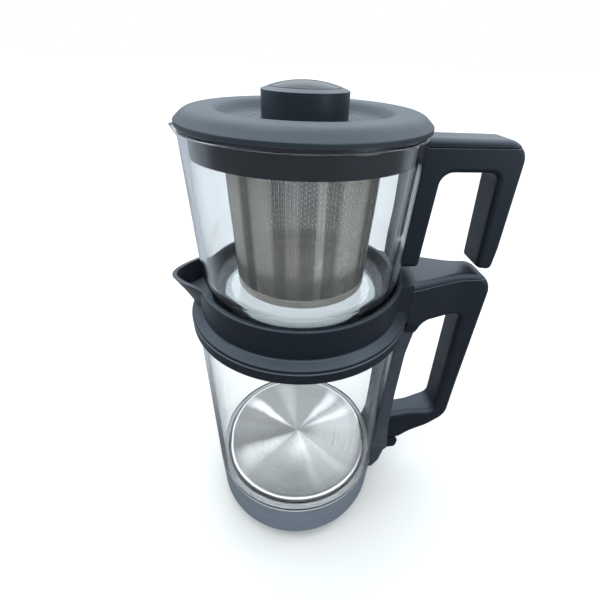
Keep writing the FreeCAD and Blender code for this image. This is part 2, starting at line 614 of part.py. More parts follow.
def kettle_handle_body():
    """Handle and its cover as one body: side outline trimmed by the plan taper, with soft edges."""
    face = rail_face(ROOT_FOOT) + 0.2
    arm_end = rail_face(GLASS_FOOT) + 2.0
    arm_under = GLASS_FOOT - 6.8
    profile = [
        (BOSS_RADIUS - 6, ROOT_FOOT), (BOSS_RADIUS - 6, HANDLE_TOP), (GRIP_OUTER, HANDLE_TOP - 1.2, 17),
        (GRIP_LOW + 0.4, GLASS_FOOT + 62, 90), (GRIP_LOW - 1.2, GLASS_FOOT + WINDOW_BOTTOM - 1, 18),
        (LEVER_REACH + 0.5, arm_under, 7), (arm_end, arm_under), (arm_end, GLASS_FOOT + WINDOW_BOTTOM),
        (GRIP_INNER - 1.6, GLASS_FOOT + WINDOW_BOTTOM + 6, 8), (GRIP_INNER, GLASS_FOOT + WINDOW_TOP, 5),
        (face + 1.4, GLASS_FOOT + WINDOW_TOP, 9), (face, ROOT_FOOT)]
    waist = GLASS_FOOT + 60
    root = BOSS_RADIUS - 10
    bend = GRIP_INNER - 7.5
    narrow = bend - 14
    far = GRIP_OUTER + 6
    slope = (ROOT_HALF_WIDTH - GRIP_HALF_WIDTH) / (bend - BOSS_RADIUS)
    upper = prism(both_sides([
        (root, ROOT_HALF_WIDTH + slope * (BOSS_RADIUS - root)), (bend, GRIP_HALF_WIDTH, BLEND),
        (far, GRIP_HALF_WIDTH)]), waist, HANDLE_TOP + 2)
    lower = prism(both_sides([
        (root, LOWER_ARM_HALF_WIDTH), (narrow, LOWER_ARM_HALF_WIDTH, BLEND), (bend, GRIP_HALF_WIDTH, BLEND),
        (far, GRIP_HALF_WIDTH)]), SKIRT_FOOT, waist)
    neck = rail_half_width(ROOT_FOOT) + 1
    front = [(-neck, 0), (neck, 0), (neck, ROOT_FOOT), (ROOT_HALF_WIDTH + 2, COLLAR_FOOT + 2),
             (ROOT_HALF_WIDTH + 2, HANDLE_TOP + 2), (-ROOT_HALF_WIDTH - 2, HANDLE_TOP + 2),
             (-ROOT_HALF_WIDTH - 2, COLLAR_FOOT + 2), (-neck, ROOT_FOOT)]
    shoulders = Part.Face(outline(front, across)).extrude(Vector(400, 0, 0))
    outside = slab(profile, 40)
    body = fused([outside.common(upper), outside.common(lower)])
    body = body.cut(disc(BOSS_RADIUS + ROOT_GAP, ROOT_FOOT - 1, HANDLE_TOP + 2))

    def keep(p):
        on_root = p.x < BOSS_RADIUS + 1 or abs(p.z - ROOT_FOOT) < 0.5
        on_arm_end = p.x < arm_end + 0.1 and p.z < waist
        return not on_root and not on_arm_end
    return body.makeFillet(GRIP_FILLET, side_edges(body, keep)).common(shoulders)


def above(level):
    """Everything over a level, to split a handle from its cover."""
    return Part.makeBox(400, 400, 200, Vector(-200, -200, level))


def seam_edges(solid, level, inner):
    """Outline of a seam face, without the edge at the root of the handle."""
    chosen = []
    for edge in solid.Edges:
        box = edge.BoundBox
        if abs(box.ZMin - level) < 0.01 and abs(box.ZMax - level) < 0.01:
            middle = edge.valueAt((edge.FirstParameter + edge.LastParameter) / 2)
            if inner < math.hypot(middle.x, middle.y):
                chosen.append(edge)
    return chosen


def kettle_handle(body):
    lower = body.cut(above(SEAM))
    lower = lower.makeChamfer(SEAM_CHAMFER, seam_edges(lower, SEAM, BOSS_RADIUS + 2))
    pocket = block(BOSS_RADIUS - 8, LUG_REACH + LOOSE, LUG_HALF_WIDTH + LOOSE, LUG_TOP - LUG_THICKNESS, SEAM + 1)
    holes = [disc(HANDLE_SCREW_RADIUS, LUG_TOP - 18, LUG_TOP, x) for x in HANDLE_SCREW_X]
    arm = rod(RAIL_SCREW_RADIUS, Vector(BOSS_RADIUS - 4, 0, ARM_SCREW_LEVEL), 18)
    return lower.cut(Part.makeCompound([pocket, arm] + holes))


def kettle_handle_cover(body):
    cover = body.common(above(SEAM + 0.2))
    return cover.makeChamfer(SEAM_CHAMFER, seam_edges(cover, SEAM + 0.2, BOSS_RADIUS + 2))


def kettle_handle_screws():
    screws = []
    for x in HANDLE_SCREW_X:
        head = disc(3.2, LUG_TOP, SEAM - 0.2, x)
        shank = disc(HANDLE_SCREW_RADIUS - RUNNING, LUG_TOP - 14, LUG_TOP + 0.5, x)
        screws.append(fused([head, shank]))
    inside = kettle_glass_radius(ARM_SCREW_LEVEL) + LOOSE
    head = rod(3.0, Vector(inside + 0.8, 0, ARM_SCREW_LEVEL), 2.2)
    shank = rod(RAIL_SCREW_RADIUS - RUNNING, Vector(inside + 2, 0, ARM_SCREW_LEVEL), 18)
    screws.append(fused([head, shank]))
    for y in (-RAIL_SCREW_Y, RAIL_SCREW_Y):
        head = rod(2.6, Vector(RAIL_SCREW_HEAD, y, RAIL_SCREW_LEVEL), 1.8)
        shank = rod(RAIL_SCREW_RADIUS - RUNNING, Vector(RAIL_SCREW_HEAD + 1, y, RAIL_SCREW_LEVEL), 7.5)
        screws.append(fused([head, shank]))
    return Part.makeCompound(screws)


def kettle_rail():
    """Strip from the collar to the kettle's foot: side outline trimmed by its front outline."""
    root_foot = ROOT_FOOT - 0.2
    face = [(rail_face(level), level) for level in (root_foot, GLASS_FOOT + 106, GLASS_FOOT + 60)]
    arm = rail_face(GLASS_FOOT) + SEAM_CHAMFER + 1.4
    within = KETTLE_RADIUS - 10
    side = [
        (within, COLLAR_FOOT - SNUG), (BOSS_RADIUS, COLLAR_FOOT - SNUG), (BOSS_RADIUS, root_foot),
        face[0], face[1] + (60,), face[2] + (60,), (arm, GLASS_FOOT + 22), (arm, GLASS_FOOT - 6, 2),
        (LEVER_PIN_X + 5.0, GLASS_FOOT - 9, 3), (LEVER_PIN_X + 1.5, GLASS_FOOT - 24, 6),
        (SKIRT_RADIUS + 2.0, SKIRT_FOOT + 1, 1), (within, SKIRT_FOOT + 1)]
    half = RAIL_HALF_WIDTH
    foot = RAIL_FOOT_HALF_WIDTH
    front = [(-foot, SKIRT_FOOT), (foot, SKIRT_FOOT), (foot, GLASS_FOOT - 6, 12), (half, GLASS_FOOT + 16, 25),
             (half, COLLAR_FOOT - FLARE_HEIGHT, 40), (half + RAIL_FLARE, COLLAR_FOOT),
             (-half - RAIL_FLARE, COLLAR_FOOT), (-half, COLLAR_FOOT - FLARE_HEIGHT, 40),
             (-half, GLASS_FOOT + 16, 25), (-foot, GLASS_FOOT - 6, 12)]
    strip = slab(side, 30).common(
        Part.Face(outline(front, across)).extrude(Vector(120, 0, 0)))
    hollow = revolved([
        (0, SKIRT_FOOT - 1), (skirt_radius(SKIRT_FOOT - 1) + RAIL_FIT, SKIRT_FOOT - 1),
        (KETTLE_RADIUS + RAIL_FIT, GLASS_FOOT), (kettle_glass_radius(COLLAR_FOOT + 1) + RAIL_FIT, COLLAR_FOOT + 1),
        (0, COLLAR_FOOT + 1)])
    strip = strip.cut(ring(BOSS_RADIUS, BOSS_RADIUS + 20, root_foot, COLLAR_FOOT))
    slot = block(within, KETTLE_RADIUS + 20, LEVER_HALF_WIDTH + LOOSE, *LEVER_SLOT)
    pin = rod(PIN_RADIUS, Vector(LEVER_PIN_X, -12, LEVER_PIN_Z), 24, Vector(0, 1, 0))
    inside = kettle_glass_radius(ARM_SCREW_LEVEL)
    sink = rod(3.2, Vector(inside - 5, 0, ARM_SCREW_LEVEL), 8.4)
    arm_hole = rod(RAIL_SCREW_RADIUS + SNUG, Vector(inside, 0, ARM_SCREW_LEVEL), 25)
    foot_holes = [rod(RAIL_SCREW_RADIUS, Vector(within, y, RAIL_SCREW_LEVEL), RAIL_SCREW_HEAD + 9.0 - within)
                  for y in (-RAIL_SCREW_Y, RAIL_SCREW_Y)]
    return strip.cut(hollow).cut(Part.makeCompound([slot, pin, sink, arm_hole] + foot_holes))


def lever_pin():
    return rod(PIN_RADIUS, Vector(LEVER_PIN_X, -12, LEVER_PIN_Z), 24, Vector(0, 1, 0))


def switch_lever():
    top = GLASS_FOOT - 7.4
    foot = GLASS_FOOT - 20.2
    paddle = slab([
        (LEVER_PIN_X - 1, top), (LEVER_REACH, top, 4), (LEVER_REACH - 1.5, foot + 0.6, 3.5),
        (LEVER_PIN_X + 6, foot, 2), (LEVER_PIN_X - 1, LEVER_PIN_Z - 3.4)], LEVER_HALF_WIDTH)
    hub = rod(3.4, Vector(LEVER_PIN_X, -LEVER_HALF_WIDTH, LEVER_PIN_Z), 2 * LEVER_HALF_WIDTH, Vector(0, 1, 0))
    finger = block(SOCKET_RADIUS + 16, LEVER_PIN_X, 3.0, LEVER_PIN_Z - 1.2, LEVER_PIN_Z + 1.2)
    bore = rod(PIN_RADIUS + RUNNING, Vector(LEVER_PIN_X, -20, LEVER_PIN_Z), 40, Vector(0, 1, 0))
    return fused([paddle, hub, finger]).cut(bore)


# ------------------------------------------------------------------ teapot
def teapot_glass():
    rim = POT_RIM_RADIUS
    heel = POT_SEAT + POT_HEEL_HEIGHT
    seat = NECK_RADIUS - RIM_WALL - 4.2
    wall = POT_WALL
    under_lip = POT_RIM - 18
    cup = revolved([
        (0, POT_SEAT), (seat, POT_SEAT, 9), (POT_HEEL_RADIUS, heel, 24), (pot_glass_radius(under_lip), under_lip),
        (rim, POT_RIM, 1.8), (rim - wall, POT_RIM, 1.8), (POT_HEEL_RADIUS - wall, heel, 20),
        (seat - wall, POT_SEAT + POT_FLOOR, 7), (0, POT_SEAT + POT_FLOOR)])
    outer = []
    inner = []
    for drop, reach, angle, lean in ((14, 0.0, 9, 8), (8, 0.32, 14, 20), (3.6, 0.8, 18, 32), (-0.8, 1.08, 20, 36)):
        level = POT_RIM - drop
        root = pot_glass_radius(level)
        tip = root + (LIP_REACH - rim) * reach
        outer.append(beak(tip, root - 1.0, angle, 9.0, level, lean))
        inner.append(beak(tip - wall + 0.4, root - wall - 0.5, angle, 6.5, level, lean, back=seat - 8))
    lip = Part.makeLoft(outer, True, False)
    channel = Part.makeLoft(inner, True, False)
    tip = LIP_REACH + 15
    over = slab([(-rim / 2, POT_RIM), (-rim + 2.6, POT_RIM), (-tip, POT_RIM - 2.6), (-tip, POT_RIM + 6),
                 (-rim / 2, POT_RIM + 6)], 60)
    return cup.fuse(lip).cut(channel).cut(over)


def teapot_handle_body():
    """Rail, arm and grip of the teapot's handle, open at the bottom, with its cover still on."""
    top = POT_RIM - POT_ARM_DROP
    under = top - 22.5
    foot = POT_SEAT + 17.6
    rail_low = pot_glass_radius(foot) + 14.4
    rail_high = pot_glass_radius(under) + 15.4
    tip = POT_SEAT + 13.6
    within = POT_HEEL_RADIUS - 9.4
    profile = [
        (within, foot), (rail_low, foot, 3), (rail_high, under, 9), (POT_GRIP_INNER, under, 6),
        (POT_GRIP_INNER + 1.2, tip + 2.0, 4), (POT_GRIP_OUTER - 3.4, tip, 4),
        (POT_GRIP_OUTER - 1.6, tip + 18, 20), (POT_GRIP_OUTER, top - 1.2, 15), (within, top)]
    body = slab(profile, POT_HANDLE_HALF_WIDTH)

    def keep(p):
        return p.x > within + 2
    body = body.makeFillet(3.6, side_edges(body, keep))
    glue = LOOSE + PAD
    inside = revolved([
        (0, foot - 2), (pot_glass_radius(foot - 2) + glue, foot - 2),
        (pot_glass_radius(top + 2) + glue, top + 2), (0, top + 2)])
    return body.cut(inside)


PAD = 0.8
POT_SEAM = POT_RIM - 10.5


def teapot_handle(body):
    lower = body.cut(above(POT_SEAM))
    lower = lower.makeChamfer(SEAM_CHAMFER, seam_edges(lower, POT_SEAM, pot_glass_radius(POT_SEAM) + 3))
    inside = pot_glass_radius(POT_SEAM) + 7
    holes = [disc(HANDLE_SCREW_RADIUS, POT_SEAM - 9, POT_SEAM + 1, x) for x in (inside + 4, inside + 34)]
    return lower.cut(Part.makeCompound(holes))


def teapot_handle_cover(body):
    cover = body.common(above(POT_SEAM + 0.2))
    inside = pot_glass_radius(POT_SEAM) + 7
    holes = [disc(HANDLE_SCREW_RADIUS, POT_SEAM - 9, POT_SEAM + 2.2, x) for x in (inside + 4, inside + 34)]
    cover = cover.makeChamfer(SEAM_CHAMFER, seam_edges(cover, POT_SEAM + 0.2, pot_glass_radius(POT_SEAM) + 3))
    return cover.cut(Part.makeCompound(holes))


def teapot_handle_pegs():
    """Pegs moulded apart and pressed into the handle, which hold its cover down."""
    inside = pot_glass_radius(POT_SEAM) + 7
    return Part.makeCompound([
        disc(HANDLE_SCREW_RADIUS - RUNNING, POT_SEAM - 8.5, POT_SEAM + 2.0, x) for x in (inside + 4, inside + 34)])


def teapot_bond_pad():
    """Silicone bond between the glass and the handle's rail."""
    low = POT_SEAT + POT_HEEL_HEIGHT + 2
    high = POT_RIM - 14
    skin = revolved([
        (pot_glass_radius(low) + SNUG, low), (pot_glass_radius(low) + SNUG + PAD, low),
        (pot_glass_radius(high) + SNUG + PAD, high), (pot_glass_radius(high) + SNUG, high)])
    return skin.common(block(POT_HEEL_RADIUS - 9, POT_RIM_RADIUS + 9, POT_HANDLE_HALF_WIDTH - 3, low, high))


# ------------------------------------------------------------------ basket and lid
def basket_cup():
    web_top = POT_RIM - RING_DEPTH + 2.0
    bottom = POT_SEAT + POT_FLOOR + BASKET_STANDOFF
    top = basket_radius(web_top)
    return revolved([
        (0, bottom), (BASKET_BOTTOM_RADIUS, bottom, 3.0), (top, web_top), (top + 4.4, web_top),
        (top + 4.4, web_top + SHEET), (top - SHEET, web_top + SHEET),
        (BASKET_BOTTOM_RADIUS - SHEET, bottom + SHEET, 2.2), (0, bottom + SHEET)])


def basket_ring():
    web = POT_RIM - RING_DEPTH
    hole = basket_radius(web + 2) + 0.3
    skirt = RING_SKIRT_RADIUS
    body = revolved([
        (hole, web), (skirt, web, 1.0), (skirt + 0.4, POT_RIM), (POT_RIM_RADIUS - 0.6, POT_RIM),
        (POT_RIM_RADIUS - 0.6, LID_SEAT, 0.5), (skirt - 2.0, LID_SEAT), (skirt - 2.2, web + 2.0, 1.0),
        (hole, web + 2.0)])
    slots = []
    for turn in (-15, -9, -3, 3, 9, 15):
        slot = Part.makeBox(12, 3.0, 7.0, Vector(-skirt - 3, -1.5, POT_RIM - 9))
        slot.rotate(Vector(0, 0, 0), UP, turn)
        slots.append(slot)
    return body.cut(Part.makeCompound(slots))


def lid_shell():
    seat = LID_SEAT
    floor = seat + LID_FLOOR_RISE
    crown = seat + LID_RISE
    inner = 2.4
    grooves = []
    for radius in (LID_FLOOR_RADIUS - 8, LID_FLOOR_RADIUS - 14):
        grooves += [(radius + 0.5, floor), (radius, floor - 0.4), (radius - 0.5, floor)]
    return revolved([
        (PLUG_SCREW, floor - inner), (LID_FLOOR_RADIUS - 1.0, floor - inner), (LID_CROWN_INNER - 0.6, crown - inner, 4),
        (LID_CROWN_OUTER - 1.0, crown - inner, 6), (LID_RADIUS - inner, seat + 2.0), (LID_RADIUS - inner, seat),
        (LID_RADIUS, seat), (LID_RADIUS, seat + 2.6, 0.8), (LID_CROWN_OUTER, crown, 10),
        (LID_CROWN_INNER, crown, 7), (LID_FLOOR_RADIUS, floor, 4)] + grooves + [(PLUG_SCREW, floor)])


def lid_plug():
    """Under part of the lid: a dish that sits inside the basket's ring."""
    outer = RING_SKIRT_RADIUS - 2.2 - 1.6
    low = LID_SEAT - PLUG_DEPTH
    roof = LID_SEAT + LID_FLOOR_RISE - 2.4
    dish = revolved([
        (PLUG_SCREW + 0.3, low), (outer, low, 2.0), (outer, LID_SEAT + 2.6), (outer - 2.0, LID_SEAT + 2.6),
        (outer - 2.0, low + 2.0, 1.0), (PLUG_BOSS, low + 2.0), (PLUG_BOSS, roof), (PLUG_SCREW + 0.3, roof)])
    groove = ring(outer - 0.8, outer + 1, low + 3.2, low + 5.4)
    return dish.cut(groove)


PLUG_SCREW = 2.0
PLUG_BOSS = 5.5


def lid_seal():
    outer = RING_SKIRT_RADIUS - 2.2 - 1.6
    low = LID_SEAT - PLUG_DEPTH + 3.2
    return revolved([
        (outer - 0.8 + RUNNING, low + 0.1), (outer + 0.2, low + 0.1), (outer + 1.1, low + 1.1),
        (outer + 0.2, low + 2.1), (outer - 0.8 + RUNNING, low + 2.1)])


KNOB_FOOT = LID_SEAT + LID_FLOOR_RISE
KNOB_EDGE = KNOB_FOOT + KNOB_SIDE
KNOB_TOP = KNOB_EDGE + KNOB_RISE
CROWN_BALL = (KNOB_RADIUS ** 2 + KNOB_RISE ** 2) / (2 * KNOB_RISE)
INLAY_FOOT = KNOB_TOP - INLAY_RADIUS ** 2 / (2 * CROWN_BALL) - INLAY_THICKNESS


def crown():
    """Ball that gives the knob and its inlay one domed top."""
    return Part.makeSphere(CROWN_BALL, Vector(0, 0, KNOB_TOP - CROWN_BALL))


def lid_knob():
    under = INLAY_FOOT - 2.4
    body = revolved([
        (PLUG_SCREW - 0.2, KNOB_FOOT), (PLUG_BOSS, KNOB_FOOT), (PLUG_BOSS, under), (KNOB_RADIUS - WALL, under - 1, 3.0),
        (KNOB_RADIUS - WALL, KNOB_FOOT), (KNOB_RADIUS, KNOB_FOOT, 0.8), (KNOB_RADIUS, KNOB_TOP),
        (INLAY_RADIUS + SNUG, KNOB_TOP), (INLAY_RADIUS + SNUG, INLAY_FOOT), (PLUG_SCREW - 0.2, INLAY_FOOT)])
    body = body.common(crown())
    rims = [e for e in body.Edges if e.BoundBox.ZLength < 0.01 and e.BoundBox.ZMin > INLAY_FOOT + 0.5]
    return body.makeFillet(0.35, rims)


def knob_inlay():
    plate = disc(INLAY_RADIUS, INLAY_FOOT, KNOB_TOP).common(crown())
    edge = [e for e in plate.Edges if e.BoundBox.ZLength < 0.01 and e.BoundBox.ZMin > INLAY_FOOT + 0.5]
    return plate.makeFillet(0.35, edge)


def knob_screw():
    low = LID_SEAT - PLUG_DEPTH
    top = INLAY_FOOT - 3.0
    head = revolved([(0, low - 1.8), (3.2, low - 1.8, 1.4), (3.8, low), (0, low)])
    return fused([head, disc(PLUG_SCREW - 0.25, low - 0.5, top)])


# ------------------------------------------------------------------ assembly
def pieces():
    kettle_body = kettle_handle_body()
    teapot_body = teapot_handle_body()
    return {
        "base_shell": base_shell(),
        "base_bottom": base_bottom(),
        "foot_ring": foot_ring(),
        "base_screws": base_screws(),
        "base_connector": base_connector(),
        "base_contacts": base_contacts(),
        "cord_gland": cord_gland(),
        "terminal_block": terminal_block(),
        "kettle_base_ring": kettle_base_ring(),
        "bottom_cover": bottom_cover(),
        "bottom_screws": bottom_screws(),
        "kettle_socket": kettle_socket(),
        "thermostat": thermostat(),
        "heating_plate": heating_plate(),
        "diffuser_plate": diffuser_plate(),
        "heating_element": heating_element(),
        "plate_seal": plate_seal(),
        "kettle_glass": kettle_glass(),
        "collar_seal": collar_seal(),
        "collar": collar(),
        "kettle_rail": kettle_rail(),
        "kettle_handle": kettle_handle(kettle_body),
        "kettle_handle_cover": kettle_handle_cover(kettle_body),
        "kettle_handle_screws": kettle_handle_screws(),
        "lever_pin": lever_pin(),
        "switch_lever": switch_lever(),
        "teapot_glass": teapot_glass(),
        "teapot_handle": teapot_handle(teapot_body),
        "teapot_handle_cover": teapot_handle_cover(teapot_body),
        "teapot_handle_pegs": teapot_handle_pegs(),
        "teapot_bond_pad": teapot_bond_pad(),
        "basket_cup": basket_cup(),
        "basket_ring": basket_ring(),
        "lid_shell": lid_shell(),
        "lid_plug": lid_plug(),
        "lid_seal": lid_seal(),
        "lid_knob": lid_knob(),
        "knob_inlay": knob_inlay(),
        "knob_screw": knob_screw(),
    }


def main():
    os.makedirs("parts", exist_ok=True)
    for name, shape in pieces().items():
        print(name, len(shape.Solids), round(shape.Volume), shape.isValid())
        shape.exportStep(os.path.join("parts", name + ".step"))


main()
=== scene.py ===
"""Looks of a stacked electric tea maker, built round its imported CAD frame.

Each sub-assembly is a class that dresses its CAD nodes and models what the CAD leaves plain. Lengths
are in metres. Z is the axis of both vessels, the handles point along +X and the spouts along -X.
"""
from __future__ import annotations

import logging
import math
from dataclasses import dataclass, field
from enum import Enum
from functools import cache
from typing import ClassVar

import bpy
from mathutils import Matrix, Vector

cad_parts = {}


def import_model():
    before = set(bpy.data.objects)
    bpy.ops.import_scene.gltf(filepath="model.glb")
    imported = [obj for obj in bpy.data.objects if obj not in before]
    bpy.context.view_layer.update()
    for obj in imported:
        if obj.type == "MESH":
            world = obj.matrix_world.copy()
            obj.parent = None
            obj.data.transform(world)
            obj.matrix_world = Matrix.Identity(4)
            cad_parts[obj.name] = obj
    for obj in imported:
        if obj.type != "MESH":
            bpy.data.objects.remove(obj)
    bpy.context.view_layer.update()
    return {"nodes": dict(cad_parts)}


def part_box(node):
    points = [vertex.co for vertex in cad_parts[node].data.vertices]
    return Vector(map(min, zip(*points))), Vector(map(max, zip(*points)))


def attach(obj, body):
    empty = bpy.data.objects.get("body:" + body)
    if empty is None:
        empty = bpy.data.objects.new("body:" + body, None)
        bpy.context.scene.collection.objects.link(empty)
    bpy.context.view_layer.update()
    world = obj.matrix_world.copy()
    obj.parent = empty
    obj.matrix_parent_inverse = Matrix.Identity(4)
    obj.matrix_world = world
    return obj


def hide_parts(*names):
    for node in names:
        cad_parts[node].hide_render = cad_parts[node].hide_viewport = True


log = logging.getLogger("tea_maker")

Colour = tuple[float, float, float]
Material = bpy.types.Material
Node = bpy.types.Node
Object = bpy.types.Object
Socket = bpy.types.NodeSocket
Sector = tuple[float, float, float]     # middle and half width in degrees, and strength
MM = 0.001
CIRCLE_STEPS = 160                      # divisions of a turned piece
FIRST, SECOND, MIXED = 6, 7, 2          # colour sockets of a Mix node: two inputs and the output


class Body(str, Enum):
    """Rigid bodies of the frame."""

    POWER_BASE = "power_base"
    KETTLE = "kettle"
    SWITCH = "switch"
    TEAPOT = "teapot"
    BASKET = "basket"
    LID = "lid"


class Slot(str, Enum):
    """A material slot name of the record; the new pieces here take their finishes from the dresser instead.
    """

    MESH = "mesh_steel"


class Finish(str, Enum):
    """Names of the materials."""

    BLACK = "black_plastic"
    LID_BLACK = "lid_plastic"
    # Lighter copies of the black plastic: painted reflection on the base ring, painted light on the rail.
    BASE_GREY = "base_plastic_painted_reflection"
    RAIL_GREY = "rail_plastic_painted_light"
    BAND = "ring_plastic"
    GLOSS = "gloss_black"
    KETTLE_GLASS = "kettle_glass"
    TEAPOT_GLASS = "teapot_glass"
    PLATE = "turned_steel"
    STRAINER = "strainer_steel"
    STRAINER_FOOT = "strainer_foot"
    # Darker copy of the strainer steel: painted shade.
    STRAINER_INSIDE = "strainer_painted_shade"
    SCREW = "screw_steel"
    ALUMINIUM = "aluminium"
    BRASS = "brass"
    SILICONE = "silicone"
    RUBBER = "rubber"
    INSULATOR = "insulator"


# ---------------------------------------------------------------- shader building blocks
class Graph:
    """A node tree with short calls for adding and joining nodes."""

    def __init__(self, tree: bpy.types.NodeTree) -> None:
        """Keep the tree.

        Args:
            tree: the node tree of a material, a world or a node group.
        """
        self.tree = tree

    def add(self, kind: str, **settings: object) -> Node:
        """Add a node.

        Args:
            kind: Blender's node type name.
            **settings: attributes set on the node; a name that starts with in_ sets that input.

        Returns:
            The new node.
        """
        node = self.tree.nodes.new(kind)
        for name, value in settings.items():
            if name.startswith("in_"):
                node.inputs[name[3:].replace("_", " ")].default_value = value
            else:
                setattr(node, name, value)
        return node

    def join(self, source: Socket, target: Socket) -> None:
        """Link two sockets."""
        self.tree.links.new(source, target)

    def place(self) -> Socket:
        """Object coordinates, in metres."""
        return self.add("ShaderNodeTexCoord").outputs["Object"]

    def split(self, vector: Socket) -> bpy.types.NodeOutputs:
        """Part a vector into its axes.

        Args:
            vector: the vector.

        Returns:
            The sockets X, Y and Z.
        """
        node = self.add("ShaderNodeSeparateXYZ")
        self.join(vector, node.inputs[0])
        return node.outputs

    def stretched(self, place: Socket, along: float) -> Socket:
        """Coordinates scaled along Z only.

        Args:
            place: the coordinates.
            along: the scale along Z; under 1 it draws a pattern out.

        Returns:
            The scaled coordinates.
        """
        node = self.add("ShaderNodeMapping")
        node.inputs["Scale"].default_value = (1.0, 1.0, along)
        self.join(place, node.inputs["Vector"])
        return node.outputs["Vector"]

    def noise(self, place: Socket, scale: float, detail: float = 2.0, roughness: float = 0.5) -> Socket:
        """Noise value over a surface.

        Args:
            place: coordinates in metres.
            scale: features per metre.
            detail: octaves.
            roughness: weight of the finer octaves.

        Returns:
            The noise value socket, about 0.5 on average.
        """
        node = self.add("ShaderNodeTexNoise", in_Scale=scale, in_Detail=detail, in_Roughness=roughness)
        self.join(place, node.inputs["Vector"])
        return node.outputs["Fac"]

    def remap(self, value: Socket, low: float, high: float, to_low: float, to_high: float) -> Socket:
        """Map a value from one range to another, clamped.

        Args:
            value: the socket to map.
            low: lower end of its range.
            high: upper end of its range.
            to_low: result at the lower end.
            to_high: result at the upper end.

        Returns:
            The mapped value socket.
        """
        node = self.add("ShaderNodeMapRange")
        self.join(value, node.inputs["Value"])
        for name, number in (("From Min", low), ("From Max", high), ("To Min", to_low), ("To Max", to_high)):
            node.inputs[name].default_value = number
        return node.outputs["Result"]

    def maths(self, operation: str, first: Socket | float, second: Socket | float = 0.0) -> Socket:
        """Two-input maths on sockets or plain numbers.

        Args:
            operation: Blender's name of the operation.
            first: first operand.
            second: second operand.

        Returns:
            The result socket.
        """
        node = self.add("ShaderNodeMath", operation=operation)
        for i, operand in enumerate((first, second)):
            if isinstance(operand, (int, float)):
                node.inputs[i].default_value = operand
            else:
                self.join(operand, node.inputs[i])
        return node.outputs[0]

    def times(self, first: Socket | float, second: Socket | float) -> Socket:
        """Product of two operands."""
        return self.maths("MULTIPLY", first, second)

    def plus(self, first: Socket | float, second: Socket | float) -> Socket:
        """Sum of two operands."""
        return self.maths("ADD", first, second)

    def minus(self, first: Socket | float, second: Socket | float) -> Socket:
        """First operand less the second."""
        return self.maths("SUBTRACT", first, second)

    def larger(self, first: Socket | float, second: Socket | float) -> Socket:
        """Larger of two operands."""
        return self.maths("MAXIMUM", first, second)

    def blend(self, share: Socket, first: Socket | Colour, second: Socket | Colour) -> Socket:
        """Mix two colours by a share.

        Args:
            share: 0 gives the first colour and 1 the second.
            first: a socket or a plain linear colour.
            second: a socket or a plain linear colour.

        Returns:
            The mixed colour socket.
        """
        node = self.add("ShaderNodeMix", data_type="RGBA")
        self.join(share, node.inputs["Factor"])
        for i, colour in ((FIRST, first), (SECOND, second)):
            if isinstance(colour, tuple):
                node.inputs[i].default_value = (*colour, 1.0)
            else:
                self.join(colour, node.inputs[i])
        return node.outputs[MIXED]

    def group(self, tree: bpy.types.NodeTree, **values: float) -> bpy.types.NodeOutputs:
        """Place a shared group.

        Args:
            tree: the group.
            **values: the group's inputs.

        Returns:
            The group's outputs.
        """
        node = self.add("ShaderNodeGroup", node_tree=tree)
        for name, value in values.items():
            node.inputs[name].default_value = value
        return node.outputs

    def bump(self, height: Socket, depth: float, shader: Node) -> None:
        """Raise a surface by a height map.

        Args:
            height: height, 0 to 1.
            depth: metres between 0 and 1.
            shader: the Principled node.
        """
        node = self.add("ShaderNodeBump", in_Strength=1.0, in_Distance=depth)
        self.join(height, node.inputs["Height"])
        self.join(node.outputs["Normal"], shader.inputs["Normal"])

    def painted_light_sectors(self, turn: Socket, sectors: tuple[Sector, ...], flat: float = 0.0) -> Socket:
        """Bright sectors round an axis: a mask for painted highlights, the lamps that a worked metal surface
        reflects.

        Args:
            turn: angle round the axis.
            sectors: the sectors.
            flat: share of the half width that has the full strength.

        Returns:
            A mask from 0 to 1.
        """
        total: Socket | float = 0.0
        for middle, half_width, strength in sectors:
            off = self.maths("COSINE", self.minus(turn, math.radians(middle)))
            edge, full = (math.cos(math.radians(half_width * share)) for share in (1.0, flat))
            total = self.larger(total, self.remap(off, edge, full, 0.0, strength))
        return total


